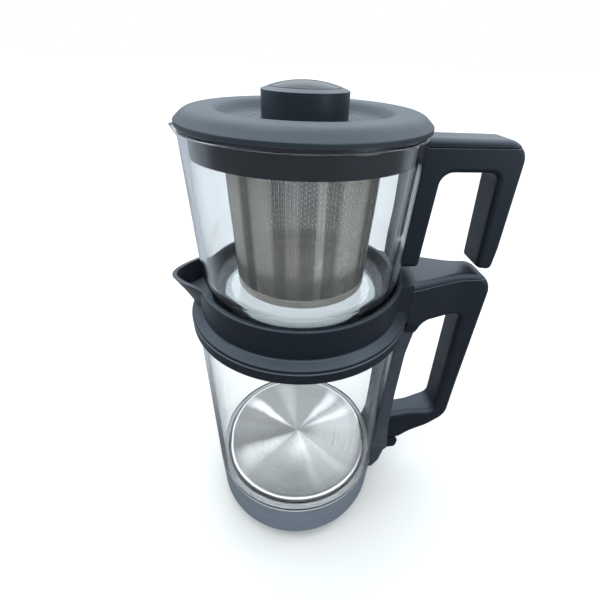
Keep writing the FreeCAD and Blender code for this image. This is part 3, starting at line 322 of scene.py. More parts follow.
class Effects:
    """Node groups that several finishes share, each built once."""

    # features per metre
    BROAD_MARKS = 22.0
    FINE_MARKS = 130.0
    SPECKS = 1900.0
    RUB_BREAKS = 420.0

    @staticmethod
    def start(name: str, inputs: dict[str, float], *outputs: str) -> tuple[Graph, Node, Node]:
        """Open a new group with named value sockets.

        Args:
            name: the group's name.
            inputs: name and default of each input.
            *outputs: name of each output.

        Returns:
            The group's graph with its input and output nodes.
        """
        tree = bpy.data.node_groups.new(name, "ShaderNodeTree")
        for label, value in inputs.items():
            socket = tree.interface.new_socket(label, in_out="INPUT", socket_type="NodeSocketFloat")
            socket.default_value = value
        for label in outputs:
            tree.interface.new_socket(label, in_out="OUTPUT", socket_type="NodeSocketFloat")
        graph = Graph(tree)
        return graph, graph.add("NodeGroupInput"), graph.add("NodeGroupOutput")

    @staticmethod
    @cache
    def handling() -> bpy.types.NodeTree:
        """Soft marks of handling: broad smudges and fine dust.

        Returns:
            A group with the input Amount and the outputs Smudge (0 to 1) and Dust (0 to 1).
        """
        graph, start, end = Effects.start("handling", {"Amount": 0.5}, "Smudge", "Dust")
        place = graph.place()
        broad = graph.noise(place, Effects.BROAD_MARKS, 4.0, 0.6)
        fine = graph.noise(place, Effects.FINE_MARKS, 3.0, 0.65)
        both = graph.plus(graph.times(broad, 0.65), graph.times(fine, 0.35))
        smudge = graph.remap(both, 0.42, 0.68, 0.0, 1.0)
        specks = graph.remap(graph.noise(place, Effects.SPECKS, 1.0), 0.70, 0.78, 0.0, 1.0)
        graph.join(graph.times(smudge, start.outputs["Amount"]), end.inputs["Smudge"])
        graph.join(graph.times(specks, start.outputs["Amount"]), end.inputs["Dust"])
        return graph.tree

    @staticmethod
    @cache
    def edge_rub() -> bpy.types.NodeTree:
        """Mask of the edges that hands and worktops rub.

        Returns:
            A group with the input Reach in metres and the output Mask (0 to 1).
        """
        graph, start, end = Effects.start("edge rub", {"Reach": 0.0008}, "Mask")
        round_off = graph.add("ShaderNodeBevel", samples=4)
        graph.join(start.outputs["Reach"], round_off.inputs["Radius"])
        surface = graph.add("ShaderNodeNewGeometry")
        turn = graph.add("ShaderNodeVectorMath", operation="DOT_PRODUCT")
        graph.join(round_off.outputs["Normal"], turn.inputs[0])
        graph.join(surface.outputs["Normal"], turn.inputs[1])
        edge = graph.remap(turn.outputs["Value"], 0.99, 0.86, 0.0, 1.0)
        broken = graph.noise(graph.place(), Effects.RUB_BREAKS, 4.0, 0.7)
        broken = graph.remap(broken, 0.38, 0.62, 0.25, 1.0)
        graph.join(graph.times(edge, broken), end.inputs["Mask"])
        return graph.tree

    @staticmethod
    @cache
    def grain() -> bpy.types.NodeTree:
        """Spark-eroded mould texture as a height.

        Returns:
            A group with the input Pitch in metres and the output Height (0 to 1).
        """
        graph, start, end = Effects.start("grain", {"Pitch": 0.0003}, "Height")
        place = graph.place()
        pits = graph.add("ShaderNodeTexVoronoi", feature="SMOOTH_F1", in_Smoothness=0.6)
        graph.join(place, pits.inputs["Vector"])
        scale = graph.maths("DIVIDE", 1.0, start.outputs["Pitch"])
        graph.join(scale, pits.inputs["Scale"])
        film = graph.add("ShaderNodeTexNoise", in_Detail=2.0)
        graph.join(place, film.inputs["Vector"])
        graph.join(graph.times(scale, 0.45), film.inputs["Scale"])
        height = graph.plus(graph.times(pits.outputs["Distance"], 0.6),
                            graph.times(film.outputs["Fac"], 0.4))
        graph.join(height, end.inputs["Height"])
        return graph.tree


def new_material(name: str) -> tuple[Material, Graph, Node]:
    """Start a material with a Principled shader.

    Args:
        name: the material's name.

    Returns:
        The material, its graph and its Principled node.
    """
    material = bpy.data.materials.new(name)
    material.use_nodes = True
    graph = Graph(material.node_tree)
    return material, graph, material.node_tree.nodes["Principled BSDF"]


# ---------------------------------------------------------------- finishes
@dataclass(frozen=True)
class MouldedPlastic:
    """Satin moulding with a fine spark-eroded grain, smudges and rubbed edges."""

    name: Finish
    colour: Colour
    rubbed: Colour
    roughness: float = 0.42
    grain_pitch: float = 0.00032
    grain_depth: float = 0.000012
    specular: float = 0.56
    sheen_tint: Colour = (0.74, 0.87, 1.0)
    marks: float = 0.6
    rub_reach: float = 0.0007
    rub_share: float = 0.55
    rub_polish: float = 0.1
    dust_share: float = 0.35
    spread: float = 0.05

    def build(self) -> Material:
        """Build the material.

        Returns:
            The material.
        """
        material, graph, shader = new_material(self.name.value)
        marks = graph.group(Effects.handling(), Amount=self.marks)
        rub = graph.group(Effects.edge_rub(), Reach=self.rub_reach)["Mask"]
        wear = graph.larger(graph.times(rub, self.rub_share),
                            graph.times(marks["Dust"], self.dust_share))
        graph.join(graph.blend(wear, self.colour, self.rubbed), shader.inputs["Base Color"])
        handled = graph.remap(marks["Smudge"], 0.0, 1.0,
                              self.roughness + self.spread, self.roughness - self.spread)
        graph.join(graph.minus(handled, graph.times(rub, self.rub_polish)), shader.inputs["Roughness"])
        shader.inputs["Specular IOR Level"].default_value = self.specular
        shader.inputs["Specular Tint"].default_value = (*self.sheen_tint, 1.0)
        grain = graph.group(Effects.grain(), Pitch=self.grain_pitch)
        graph.bump(grain["Height"], self.grain_depth, shader)
        return material


@dataclass(frozen=True)
class GlossPlastic:
    """Polished moulding with a slight orange-peel wave, smudges and dust."""

    name: Finish
    colour: Colour
    roughness: float
    smeared: float = 0.10
    specular: float = 0.06
    dust: Colour = (0.12, 0.12, 0.12)
    waves: float = 260.0
    wave_depth: float = 0.00003

    def build(self) -> Material:
        """Build the material.

        Returns:
            The material.
        """
        material, graph, shader = new_material(self.name.value)
        place = graph.place()
        marks = graph.group(Effects.handling(), Amount=1.0)
        smears = graph.remap(marks["Smudge"], 0.0, 1.0, self.roughness, self.roughness + self.smeared)
        graph.join(smears, shader.inputs["Roughness"])
        graph.join(graph.blend(marks["Dust"], self.colour, self.dust), shader.inputs["Base Color"])
        shader.inputs["Specular IOR Level"].default_value = self.specular
        graph.bump(graph.noise(place, self.waves, 1.0), self.wave_depth, shader)
        return material


@dataclass(frozen=True)
class ClearGlass:
    """Clear glass with a slight tint, drawn waves and a few smears.

    Where ring_level is set, the glass below it is a vessel's thick floor: rippled, greyed by painted shade,
    and greyer by painted reflection of the thick heel and hazy outside heel_radius, where two painted
    refraction lines run round it.
    """

    name: Finish
    tint: Colour
    edge: Colour
    wave_pitch: float
    wave_depth: float
    ring_level: float = 0.0
    bend: float = 1.47
    wave_stretch: float = 0.35
    smear: float = 0.05
    heel_radius: float = 0.0510
    heel_blur: float = 0.0008
    line_gap: float = 0.0042
    line_fade: tuple[float, float] = (0.0004, 0.0012)
    level_fade: float = 0.006
    ripple_pitch: float = 0.0048
    ripple_share: float = 0.10
    # Share of painted shade on the floor and of painted reflection on the heel.
    floor_painted_shade: float = 0.35
    heel_painted_reflection: float = 0.9
    heel_haze: float = 0.16

    def build(self) -> Material:
        """Build the material.

        Returns:
            The material.
        """
        material, graph, shader = new_material(self.name.value)
        facing = graph.add("ShaderNodeLayerWeight", in_Blend=0.35).outputs["Facing"]
        thick = graph.remap(facing, 0.70, 1.0, 0.0, 1.0)
        shader.inputs["Transmission Weight"].default_value = 1.0
        shader.inputs["IOR"].default_value = self.bend
        marks = graph.group(Effects.handling(), Amount=1.0)
        haze = graph.remap(marks["Smudge"], 0.45, 1.0, 0.0, self.smear)
        place = graph.place()
        waves = graph.noise(graph.stretched(place, self.wave_stretch), 1 / self.wave_pitch, 2.0)
        if self.ring_level > 0:
            radius, low = self.floor_place(graph, place)
            ripple = graph.maths("SINE", graph.times(radius, math.tau / self.ripple_pitch))
            waves = graph.plus(graph.times(waves, graph.minus(1.0, low)),
                               graph.times(graph.times(ripple, self.ripple_share), low))
            heel = graph.remap(radius, self.heel_radius - self.heel_blur, self.heel_radius + self.heel_blur,
                               0.0, 1.0)
            heel = graph.times(heel, low)
            # Painted shade greys the floor, and painted reflection greys the thick heel more.
            floor = graph.larger(graph.times(low, self.floor_painted_shade), graph.times(heel, self.heel_painted_reflection))
            # Two painted refraction lines round the heel.
            lines = graph.times(self.painted_heel_lines(graph, radius), low)
            thick = graph.larger(graph.larger(thick, lines), floor)
            haze = graph.plus(haze, graph.times(heel, self.heel_haze))
        graph.join(haze, shader.inputs["Roughness"])
        graph.join(graph.blend(thick, self.tint, self.edge), shader.inputs["Base Color"])
        graph.bump(waves, self.wave_depth, shader)
        return material

    def floor_place(self, graph: Graph, place: Socket) -> tuple[Socket, Socket]:
        """Where a point lies on a vessel's floor and heel.

        Args:
            graph: the material's graph.
            place: object coordinates.

        Returns:
            Distance from the vessel's axis, and a mask that is 1 below the ring level.
        """
        axes = graph.split(place)
        flat = graph.add("ShaderNodeCombineXYZ")
        graph.join(axes["X"], flat.inputs["X"])
        graph.join(axes["Y"], flat.inputs["Y"])
        reach = graph.add("ShaderNodeVectorMath", operation="LENGTH")
        graph.join(flat.outputs[0], reach.inputs[0])
        low = graph.remap(axes["Z"], self.ring_level, self.ring_level + self.level_fade, 1.0, 0.0)
        return reach.outputs["Value"], low

    def painted_heel_lines(self, graph: Graph, radius: Socket) -> Socket:
        """Two painted refraction lines where the floor turns into the wall.

        Args:
            graph: the material's graph.
            radius: distance from the vessel's axis.

        Returns:
            A mask that is 1 on the lines.
        """
        off = [graph.maths("ABSOLUTE", graph.minus(radius, line))
               for line in (self.heel_radius, self.heel_radius + self.line_gap)]
        return graph.remap(graph.maths("MINIMUM", *off), *self.line_fade, 1.0, 0.0)


@dataclass(frozen=True)
class TurnedSteel:
    """Steel disc finished on a lathe; its fine rings are bumps and roughness, and the fans of light they
    throw are painted into its colour as painted highlights and painted shade.
    """

    name: Finish
    colour: Colour
    roughness: float
    # Painted light: shade scales the dark end of the painted shade, and the rim ring, hub, dark side and ray
    # sectors set where painted highlights and painted shade fall.
    shade: float = 0.42
    painted_highlight_colour: Colour = (0.60, 0.585, 0.56)
    rim_highlight_radius: float = 0.0605
    rim_highlight_fade: tuple[float, float] = (0.0006, 0.0014)
    hub: tuple[float, float] = (0.004, 0.022)
    ray_start: tuple[float, float] = (0.002, 0.024)
    ray_end: tuple[float, float] = (0.050, 0.060)
    painted_shade_side: float = 105.0
    fans: float = 1.15
    ring_pitch: float = 0.0004
    sway: float = 0.20
    sways: float = 38.0
    depth: float = 0.000012
    rays: tuple[Sector, ...] = (
        (-76.0, 8.0, 0.85), (-50.0, 7.0, 0.6), (20.0, 8.0, 0.6), (43.0, 9.0, 0.55), (100.0, 13.0, 0.15),
        (140.0, 8.0, 0.75), (-151.0, 16.0, 0.9), (-100.0, 60.0, 0.40), (-5.0, 45.0, 0.25))

    def fan(self, graph: Graph, turn: Socket) -> Socket:
        """Noise that changes with the angle round the disc and joins up after a full turn; it sets broad
        fans of painted light and shade.

        Args:
            graph: the material's graph.
            turn: angle round the disc.

        Returns:
            The noise value socket.
        """
        circle = graph.add("ShaderNodeCombineXYZ")
        for axis, wave in (("X", "SINE"), ("Y", "COSINE")):
            graph.join(graph.times(graph.maths(wave, turn), self.fans), circle.inputs[axis])
        return graph.noise(circle.outputs[0], 1.0, 2.0)

    def painted_ray_mask(self, graph: Graph, turn: Socket, radius: Socket) -> Socket:
        """Painted highlights: bright rays that stand in for lamps reflected in the turned finish.

        Args:
            graph: the material's graph.
            turn: angle round the disc.
            radius: distance from the disc's centre.

        Returns:
            A mask from 0 to 1.
        """
        wander = graph.add("ShaderNodeCombineXYZ")
        graph.join(graph.times(radius, self.sways), wander.inputs["X"])
        bend = graph.times(graph.minus(graph.noise(wander.outputs[0], 1.0), 0.5), self.sway)
        total = graph.painted_light_sectors(graph.plus(turn, bend), self.rays)
        total = graph.times(total, graph.remap(radius, *self.ray_start, 0.15, 1.0))
        return graph.times(total, graph.remap(radius, *self.ray_end, 1.0, 0.3))

    def build(self) -> Material:
        """Build the material.

        Returns:
            The material.
        """
        material, graph, shader = new_material(self.name.value)
        axes = graph.split(graph.place())
        square = graph.plus(graph.times(axes["X"], axes["X"]), graph.times(axes["Y"], axes["Y"]))
        radius = graph.maths("SQRT", square)
        turn = graph.maths("ARCTAN2", axes["Y"], axes["X"])
        polar = graph.add("ShaderNodeCombineXYZ")
        graph.join(graph.maths("DIVIDE", radius, self.ring_pitch), polar.inputs["X"])
        graph.join(graph.times(turn, 1.3), polar.inputs["Y"])
        rings = graph.noise(polar.outputs[0], 1.0, 3.0, 0.7)
        # Broad fans of painted light and shade, painted highlight rays, and a painted highlight ring near
        # the rim.
        sectors = self.fan(graph, turn)
        streaks = self.painted_ray_mask(graph, turn, radius)
        rim = graph.maths("ABSOLUTE", graph.minus(radius, self.rim_highlight_radius))
        bright = graph.larger(streaks, graph.remap(rim, *self.rim_highlight_fade, 1.0, 0.0))
        shader.inputs["Metallic"].default_value = 1.0
        # Painted shade: one side of the disc and its hub are darker.
        painted_shade_lean = graph.maths("COSINE", graph.minus(turn, math.radians(self.painted_shade_side)))
        tone = graph.plus(graph.remap(sectors, 0.36, 0.64, 0.0, 0.5),
                          graph.remap(rings, 0.3, 0.7, -0.1, 0.2))
        tone = graph.plus(tone, graph.remap(painted_shade_lean, -1.0, 1.0, 0.6, -0.60))
        tone = graph.plus(tone, graph.remap(radius, *self.hub, -0.5, 0.0))
        # Dark and light copies of the steel by painted light and shade, with the painted highlights over
        # them.
        painted_fan_colour = graph.blend(tone, tuple(c * self.shade for c in self.colour), self.colour)
        graph.join(graph.blend(bright, painted_fan_colour, self.painted_highlight_colour), shader.inputs["Base Color"])
        graph.join(graph.remap(rings, 0.3, 0.7, self.roughness - 0.06, self.roughness + 0.08),
                   shader.inputs["Roughness"])
        shader.inputs["Anisotropic"].default_value = 0.85
        lay = graph.add("ShaderNodeTangent", direction_type="RADIAL", axis="Z")
        graph.join(lay.outputs["Tangent"], shader.inputs["Tangent"])
        graph.bump(rings, self.depth, shader)
        return material


@dataclass(frozen=True)
class SheetMetal:
    """Plain metal with rolled streaks and smudges.

    Where bands are set, painted highlights light it in upright bands round its axis, and painted shade
    darkens it below a set level.
    """

    name: Finish
    colour: Colour
    roughness: float
    streaks: float = 90.0
    run: float = 14.0
    dull_share: float = 0.72
    metallic: float = 1.0
    contrast: float = 0.12
    painted_shade_below: float = 0.0
    bands: tuple[Sector, ...] = ()
    highlight_band_share: float = 0.8
    painted_shade_share: float = 0.35
    level_fade: float = 0.003
    marks: float = 0.4
    depth: float = 0.000008

    def build(self) -> Material:
        """Build the material.

        Returns:
            The material.
        """
        material, graph, shader = new_material(self.name.value)
        place = graph.place()
        rolled = graph.noise(graph.stretched(place, self.run), self.streaks, 4.0, 0.7)
        marks = graph.group(Effects.handling(), Amount=self.marks)
        shader.inputs["Metallic"].default_value = self.metallic
        dull = tuple(c * self.dull_share for c in self.colour)
        share = graph.remap(rolled, 0.5 - self.contrast, 0.5 + self.contrast, 0.0, 1.0)
        if self.bands:
            axes = graph.split(place)
            # Painted highlights in upright bands round the axis.
            bright = graph.painted_light_sectors(graph.maths("ARCTAN2", axes["Y"], axes["X"]), self.bands, 0.6)
            share = graph.plus(graph.times(bright, self.highlight_band_share), graph.times(share, 1 - self.highlight_band_share))
            # Painted shade: darker below a set level near the foot.
            low, high = self.painted_shade_below - self.level_fade, self.painted_shade_below + self.level_fade
            share = graph.times(share, graph.remap(axes["Z"], low, high, self.painted_shade_share, 1.0))
        graph.join(graph.blend(share, dull, self.colour), shader.inputs["Base Color"])
        graph.join(graph.remap(graph.plus(rolled, marks["Smudge"]), 0.3, 1.6,
                               self.roughness - 0.08, self.roughness + 0.12), shader.inputs["Roughness"])
        graph.bump(rolled, self.depth, shader)
        return material


@dataclass(frozen=True)
class SoftRubber:
    """Silicone or rubber: dull, slightly powdery, with a fine bloom."""

    name: Finish
    colour: Colour
    bloom: Colour
    roughness: float = 0.7
    translucent: float = 0.0
    bloom_share: float = 0.6
    grain_pitch: float = 0.0005
    grain_depth: float = 0.00001

    def build(self) -> Material:
        """Build the material.

        Returns:
            The material.
        """
        material, graph, shader = new_material(self.name.value)
        smudge = graph.group(Effects.handling(), Amount=1.0)["Smudge"]
        graph.join(graph.blend(graph.times(smudge, self.bloom_share), self.colour, self.bloom),
                   shader.inputs["Base Color"])
        graph.join(graph.remap(smudge, 0.0, 1.0, self.roughness - 0.08, self.roughness + 0.1),
                   shader.inputs["Roughness"])
        shader.inputs["Transmission Weight"].default_value = self.translucent
        grain = graph.group(Effects.grain(), Pitch=self.grain_pitch)
        graph.bump(grain["Height"], self.grain_depth, shader)
        return material


# ---------------------------------------------------------------- modelling helpers
def only(obj: Object | None) -> None:
    """Deselect everything, then select and activate one object.

    Args:
        obj: the object, or None to leave nothing selected.
    """
    if bpy.context.object is not None and bpy.context.object.mode != "OBJECT":
        bpy.ops.object.mode_set(mode="OBJECT")
    bpy.ops.object.select_all(action="DESELECT")
    if obj is not None:
        obj.select_set(True)
    bpy.context.view_layer.objects.active = obj


def edit(obj: Object) -> None:
    """Open an object's mesh for editing, all of it selected.

    Args:
        obj: the object.
    """
    only(obj)
    bpy.ops.object.mode_set(mode="EDIT")
    bpy.ops.mesh.select_all(action="SELECT")


def done(obj: Object, name: str) -> Object:
    """Leave edit mode, put the object's place in its mesh and name it.

    Args:
        obj: the object being edited.
        name: its final name.

    Returns:
        The same object.
    """
    if obj.mode != "OBJECT":
        bpy.ops.object.mode_set(mode="OBJECT")
    only(obj)
    bpy.ops.object.transform_apply(location=True, rotation=True, scale=True)
    obj.name = name
    obj.data.name = name
    return obj


def apply_all(obj: Object) -> None:
    """Apply an object's modifiers from the top down.

    Args:
        obj: the object.
    """
    only(obj)
    for modifier in list(obj.modifiers):
        bpy.ops.object.modifier_apply(modifier=modifier.name)


def spun(points: list[tuple[float, float]], name: str) -> Object:
    """Turn an open outline about the Z axis.

    Args:
        points: radius and level of each corner, in metres.
        name: the object's name.

    Returns:
        A shell with its faces outwards.
    """
    only(None)
    bpy.ops.mesh.primitive_plane_add(size=0.001, location=(0, 0, 0))
    obj = bpy.context.object
    edit(obj)
    bpy.ops.mesh.merge(type="CENTER")
    first = Vector((points[0][0], 0, points[0][1]))
    bpy.ops.transform.translate(value=first)
    here = first
    for radius, level in points[1:]:
        there = Vector((radius, 0, level))
        bpy.ops.mesh.extrude_region_move(TRANSFORM_OT_translate={"value": there - here})
        here = there
    bpy.ops.mesh.select_all(action="SELECT")
    bpy.ops.mesh.spin(steps=CIRCLE_STEPS, angle=math.tau, center=(0, 0, 0), axis=(0, 0, 1))
    bpy.ops.mesh.select_all(action="SELECT")
    bpy.ops.mesh.remove_doubles(threshold=1e-6)
    bpy.ops.mesh.normals_make_consistent(inside=False)
    return done(obj, name)


def finish_piece(obj: Object, body: Body, material: Material | None = None) -> None:
    """Dress a new piece and hand it to the frame.

    Args:
        obj: the finished piece.
        body: the body that it rides on.
        material: its material, or None where the piece has its own.
    """
    if material is not None:
        obj.data.materials.clear()
        obj.data.materials.append(material)
    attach(obj, body.value)
    log.info("%s: %d faces on %s", obj.name, len(obj.data.polygons), body.value)


# ---------------------------------------------------------------- sub-assemblies
class Dresser:
    """Builds each finish once and puts it on the CAD nodes of the frame."""

    WORN: ClassVar[Colour] = (0.055, 0.062, 0.075)
    # Painted highlights: upright bands round the strainer that stand in for lamps reflected in it.
    HIGHLIGHT_BANDS: ClassVar[tuple[Sector, ...]] = (
        (-153.0, 13.0, 1.0), (-124.0, 10.0, 0.9), (-102.0, 6.0, 0.5), (-83.0, 3.5, 1.0), (-58.0, 14.0, 0.95),
        (-20.0, 10.0, 0.8), (10.0, 8.0, 0.6), (45.0, 14.0, 1.0), (80.0, 6.0, 0.5), (105.0, 10.0, 0.9),
        (140.0, 12.0, 0.8), (175.0, 8.0, 0.9))
    SHADED_FOOT: ClassVar[float] = 22 * MM        # height over which painted shade darkens the basket at its foot
    POT_FLOOR: ClassVar[float] = 10 * MM        # height up to which the teapot's glass looks like its floor

    def __init__(self, nodes: dict[str, Object]) -> None:
        """Build every material.

        Args:
            nodes: the frame's CAD nodes, by name.
        """
        self.nodes = nodes
        recipes = (
            MouldedPlastic(Finish.BLACK, (0.0030, 0.0040, 0.0070), self.WORN),
            MouldedPlastic(Finish.LID_BLACK, (0.0080, 0.0100, 0.0140), self.WORN, roughness=0.52),
            # Lighter grey copy of the black plastic: painted reflection of the floor and glass on the
            # kettle's base ring.
            MouldedPlastic(Finish.BASE_GREY, (0.110, 0.125, 0.148), (0.18, 0.19, 0.21)),
            # Lighter copy of the black plastic: painted light on the kettle's handle rail.
            MouldedPlastic(Finish.RAIL_GREY, (0.030, 0.034, 0.041), (0.09, 0.10, 0.11)),
            MouldedPlastic(Finish.BAND, (0.016, 0.010, 0.011), self.WORN, roughness=0.20,
                           grain_depth=0.000003, specular=0.85, marks=0.3),
            GlossPlastic(Finish.GLOSS, (0.010, 0.011, 0.014), 0.05),
            ClearGlass(Finish.KETTLE_GLASS, (0.985, 0.988, 0.992), (0.94, 0.955, 0.96), 0.028, 0.00020,
                       bend=1.18),
            ClearGlass(Finish.TEAPOT_GLASS, (0.845, 0.860, 0.875), (0.43, 0.475, 0.485), 0.035, 0.00025,
                       ring_level=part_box("teapot_glass")[0].z + self.POT_FLOOR),
            TurnedSteel(Finish.PLATE, (0.40, 0.395, 0.38), 0.30),
            # Strainer steel with painted highlight bands, and painted shade near its foot.
            SheetMetal(Finish.STRAINER, (1.0, 0.93, 0.81), 0.28, 62.0, 0.02, 0.26, 0.25, 0.10,
                       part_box("basket_cup")[0].z + self.SHADED_FOOT, self.HIGHLIGHT_BANDS),
            SheetMetal(Finish.STRAINER_FOOT, (0.94, 0.86, 0.73), 0.22, 120.0, metallic=0.25),
            # Darker copy of the strainer steel: painted shade inside the basket and on the holes' edges.
            SheetMetal(Finish.STRAINER_INSIDE, (0.16, 0.155, 0.14), 0.45, 62.0, 0.05, 0.6, 0.8),
            SheetMetal(Finish.SCREW, (0.55, 0.55, 0.56), 0.30, 400.0),
            SheetMetal(Finish.ALUMINIUM, (0.72, 0.73, 0.74), 0.42),
            SheetMetal(Finish.BRASS, (0.75, 0.56, 0.26), 0.28, 300.0),
            SoftRubber(Finish.SILICONE, (0.70, 0.71, 0.71), (0.80, 0.80, 0.80), 0.5, 0.35),
            SoftRubber(Finish.RUBBER, (0.022, 0.022, 0.023), (0.06, 0.06, 0.06)),
            MouldedPlastic(Finish.INSULATOR, (0.72, 0.70, 0.64), (0.8, 0.78, 0.72), marks=0.3))
        self.made = {recipe.name: recipe.build() for recipe in recipes}

    def dress(self, finish: Finish, *names: str) -> None:
        """Give CAD nodes one finish.

        Args:
            finish: the finish.
            *names: the nodes.
        """
        for name in names:
            mesh = self.nodes[name].data
            mesh.materials.clear()
            mesh.materials.append(self.made[finish])
        log.info("%s on %s", finish.value, ", ".join(names))


@dataclass
class Assembly:
    """A body of the frame whose CAD nodes each take one finish."""

    body: ClassVar[Body]
    finish_of: ClassVar[dict[Finish, tuple[str, ...]]]

    def build(self, dresser: Dresser) -> None:
        """Dress the body.

        Args:
            dresser: what puts finishes on CAD nodes.
        """
        log.info("body %s", self.body.value)
        for finish, names in self.finish_of.items():
            dresser.dress(finish, *names)


@dataclass
class PowerBase(Assembly):
    """Round base with its contact post, rubber ring and cord gland."""

    body = Body.POWER_BASE
    finish_of = {
        Finish.BLACK: ("base_shell", "base_bottom", "base_connector"),
        Finish.RUBBER: ("foot_ring", "cord_gland"),
        Finish.BRASS: ("base_contacts",),
        Finish.INSULATOR: ("terminal_block",),
        Finish.SCREW: ("base_screws",)}


@dataclass
class Kettle(Assembly):
    """Glass kettle with its base ring, heating plate, collar and handle."""

    body = Body.KETTLE
    finish_of = {
        Finish.BLACK: ("bottom_cover", "kettle_socket", "collar", "kettle_handle", "kettle_handle_cover"),
        # The rail and the base ring take lighter copies of the black plastic: painted light and painted
        # reflection.
        Finish.RAIL_GREY: ("kettle_rail",),
        Finish.BASE_GREY: ("kettle_base_ring",),
        Finish.KETTLE_GLASS: ("kettle_glass",),
        Finish.PLATE: ("heating_plate",),
        Finish.ALUMINIUM: ("diffuser_plate", "heating_element"),
        Finish.INSULATOR: ("thermostat",),
        Finish.SILICONE: ("plate_seal", "collar_seal"),
        Finish.SCREW: ("bottom_screws", "kettle_handle_screws", "lever_pin")}


@dataclass
class Switch(Assembly):
    """Lever at the foot of the kettle's handle."""

    body = Body.SWITCH
    finish_of = {Finish.BLACK: ("switch_lever",)}


@dataclass
class Teapot(Assembly):
    """Thick-walled glass teapot with its bonded handle."""

    body = Body.TEAPOT
    finish_of = {
        Finish.TEAPOT_GLASS: ("teapot_glass",),
        Finish.BLACK: ("teapot_handle", "teapot_handle_cover", "teapot_handle_pegs"),
        Finish.SILICONE: ("teapot_bond_pad",)}


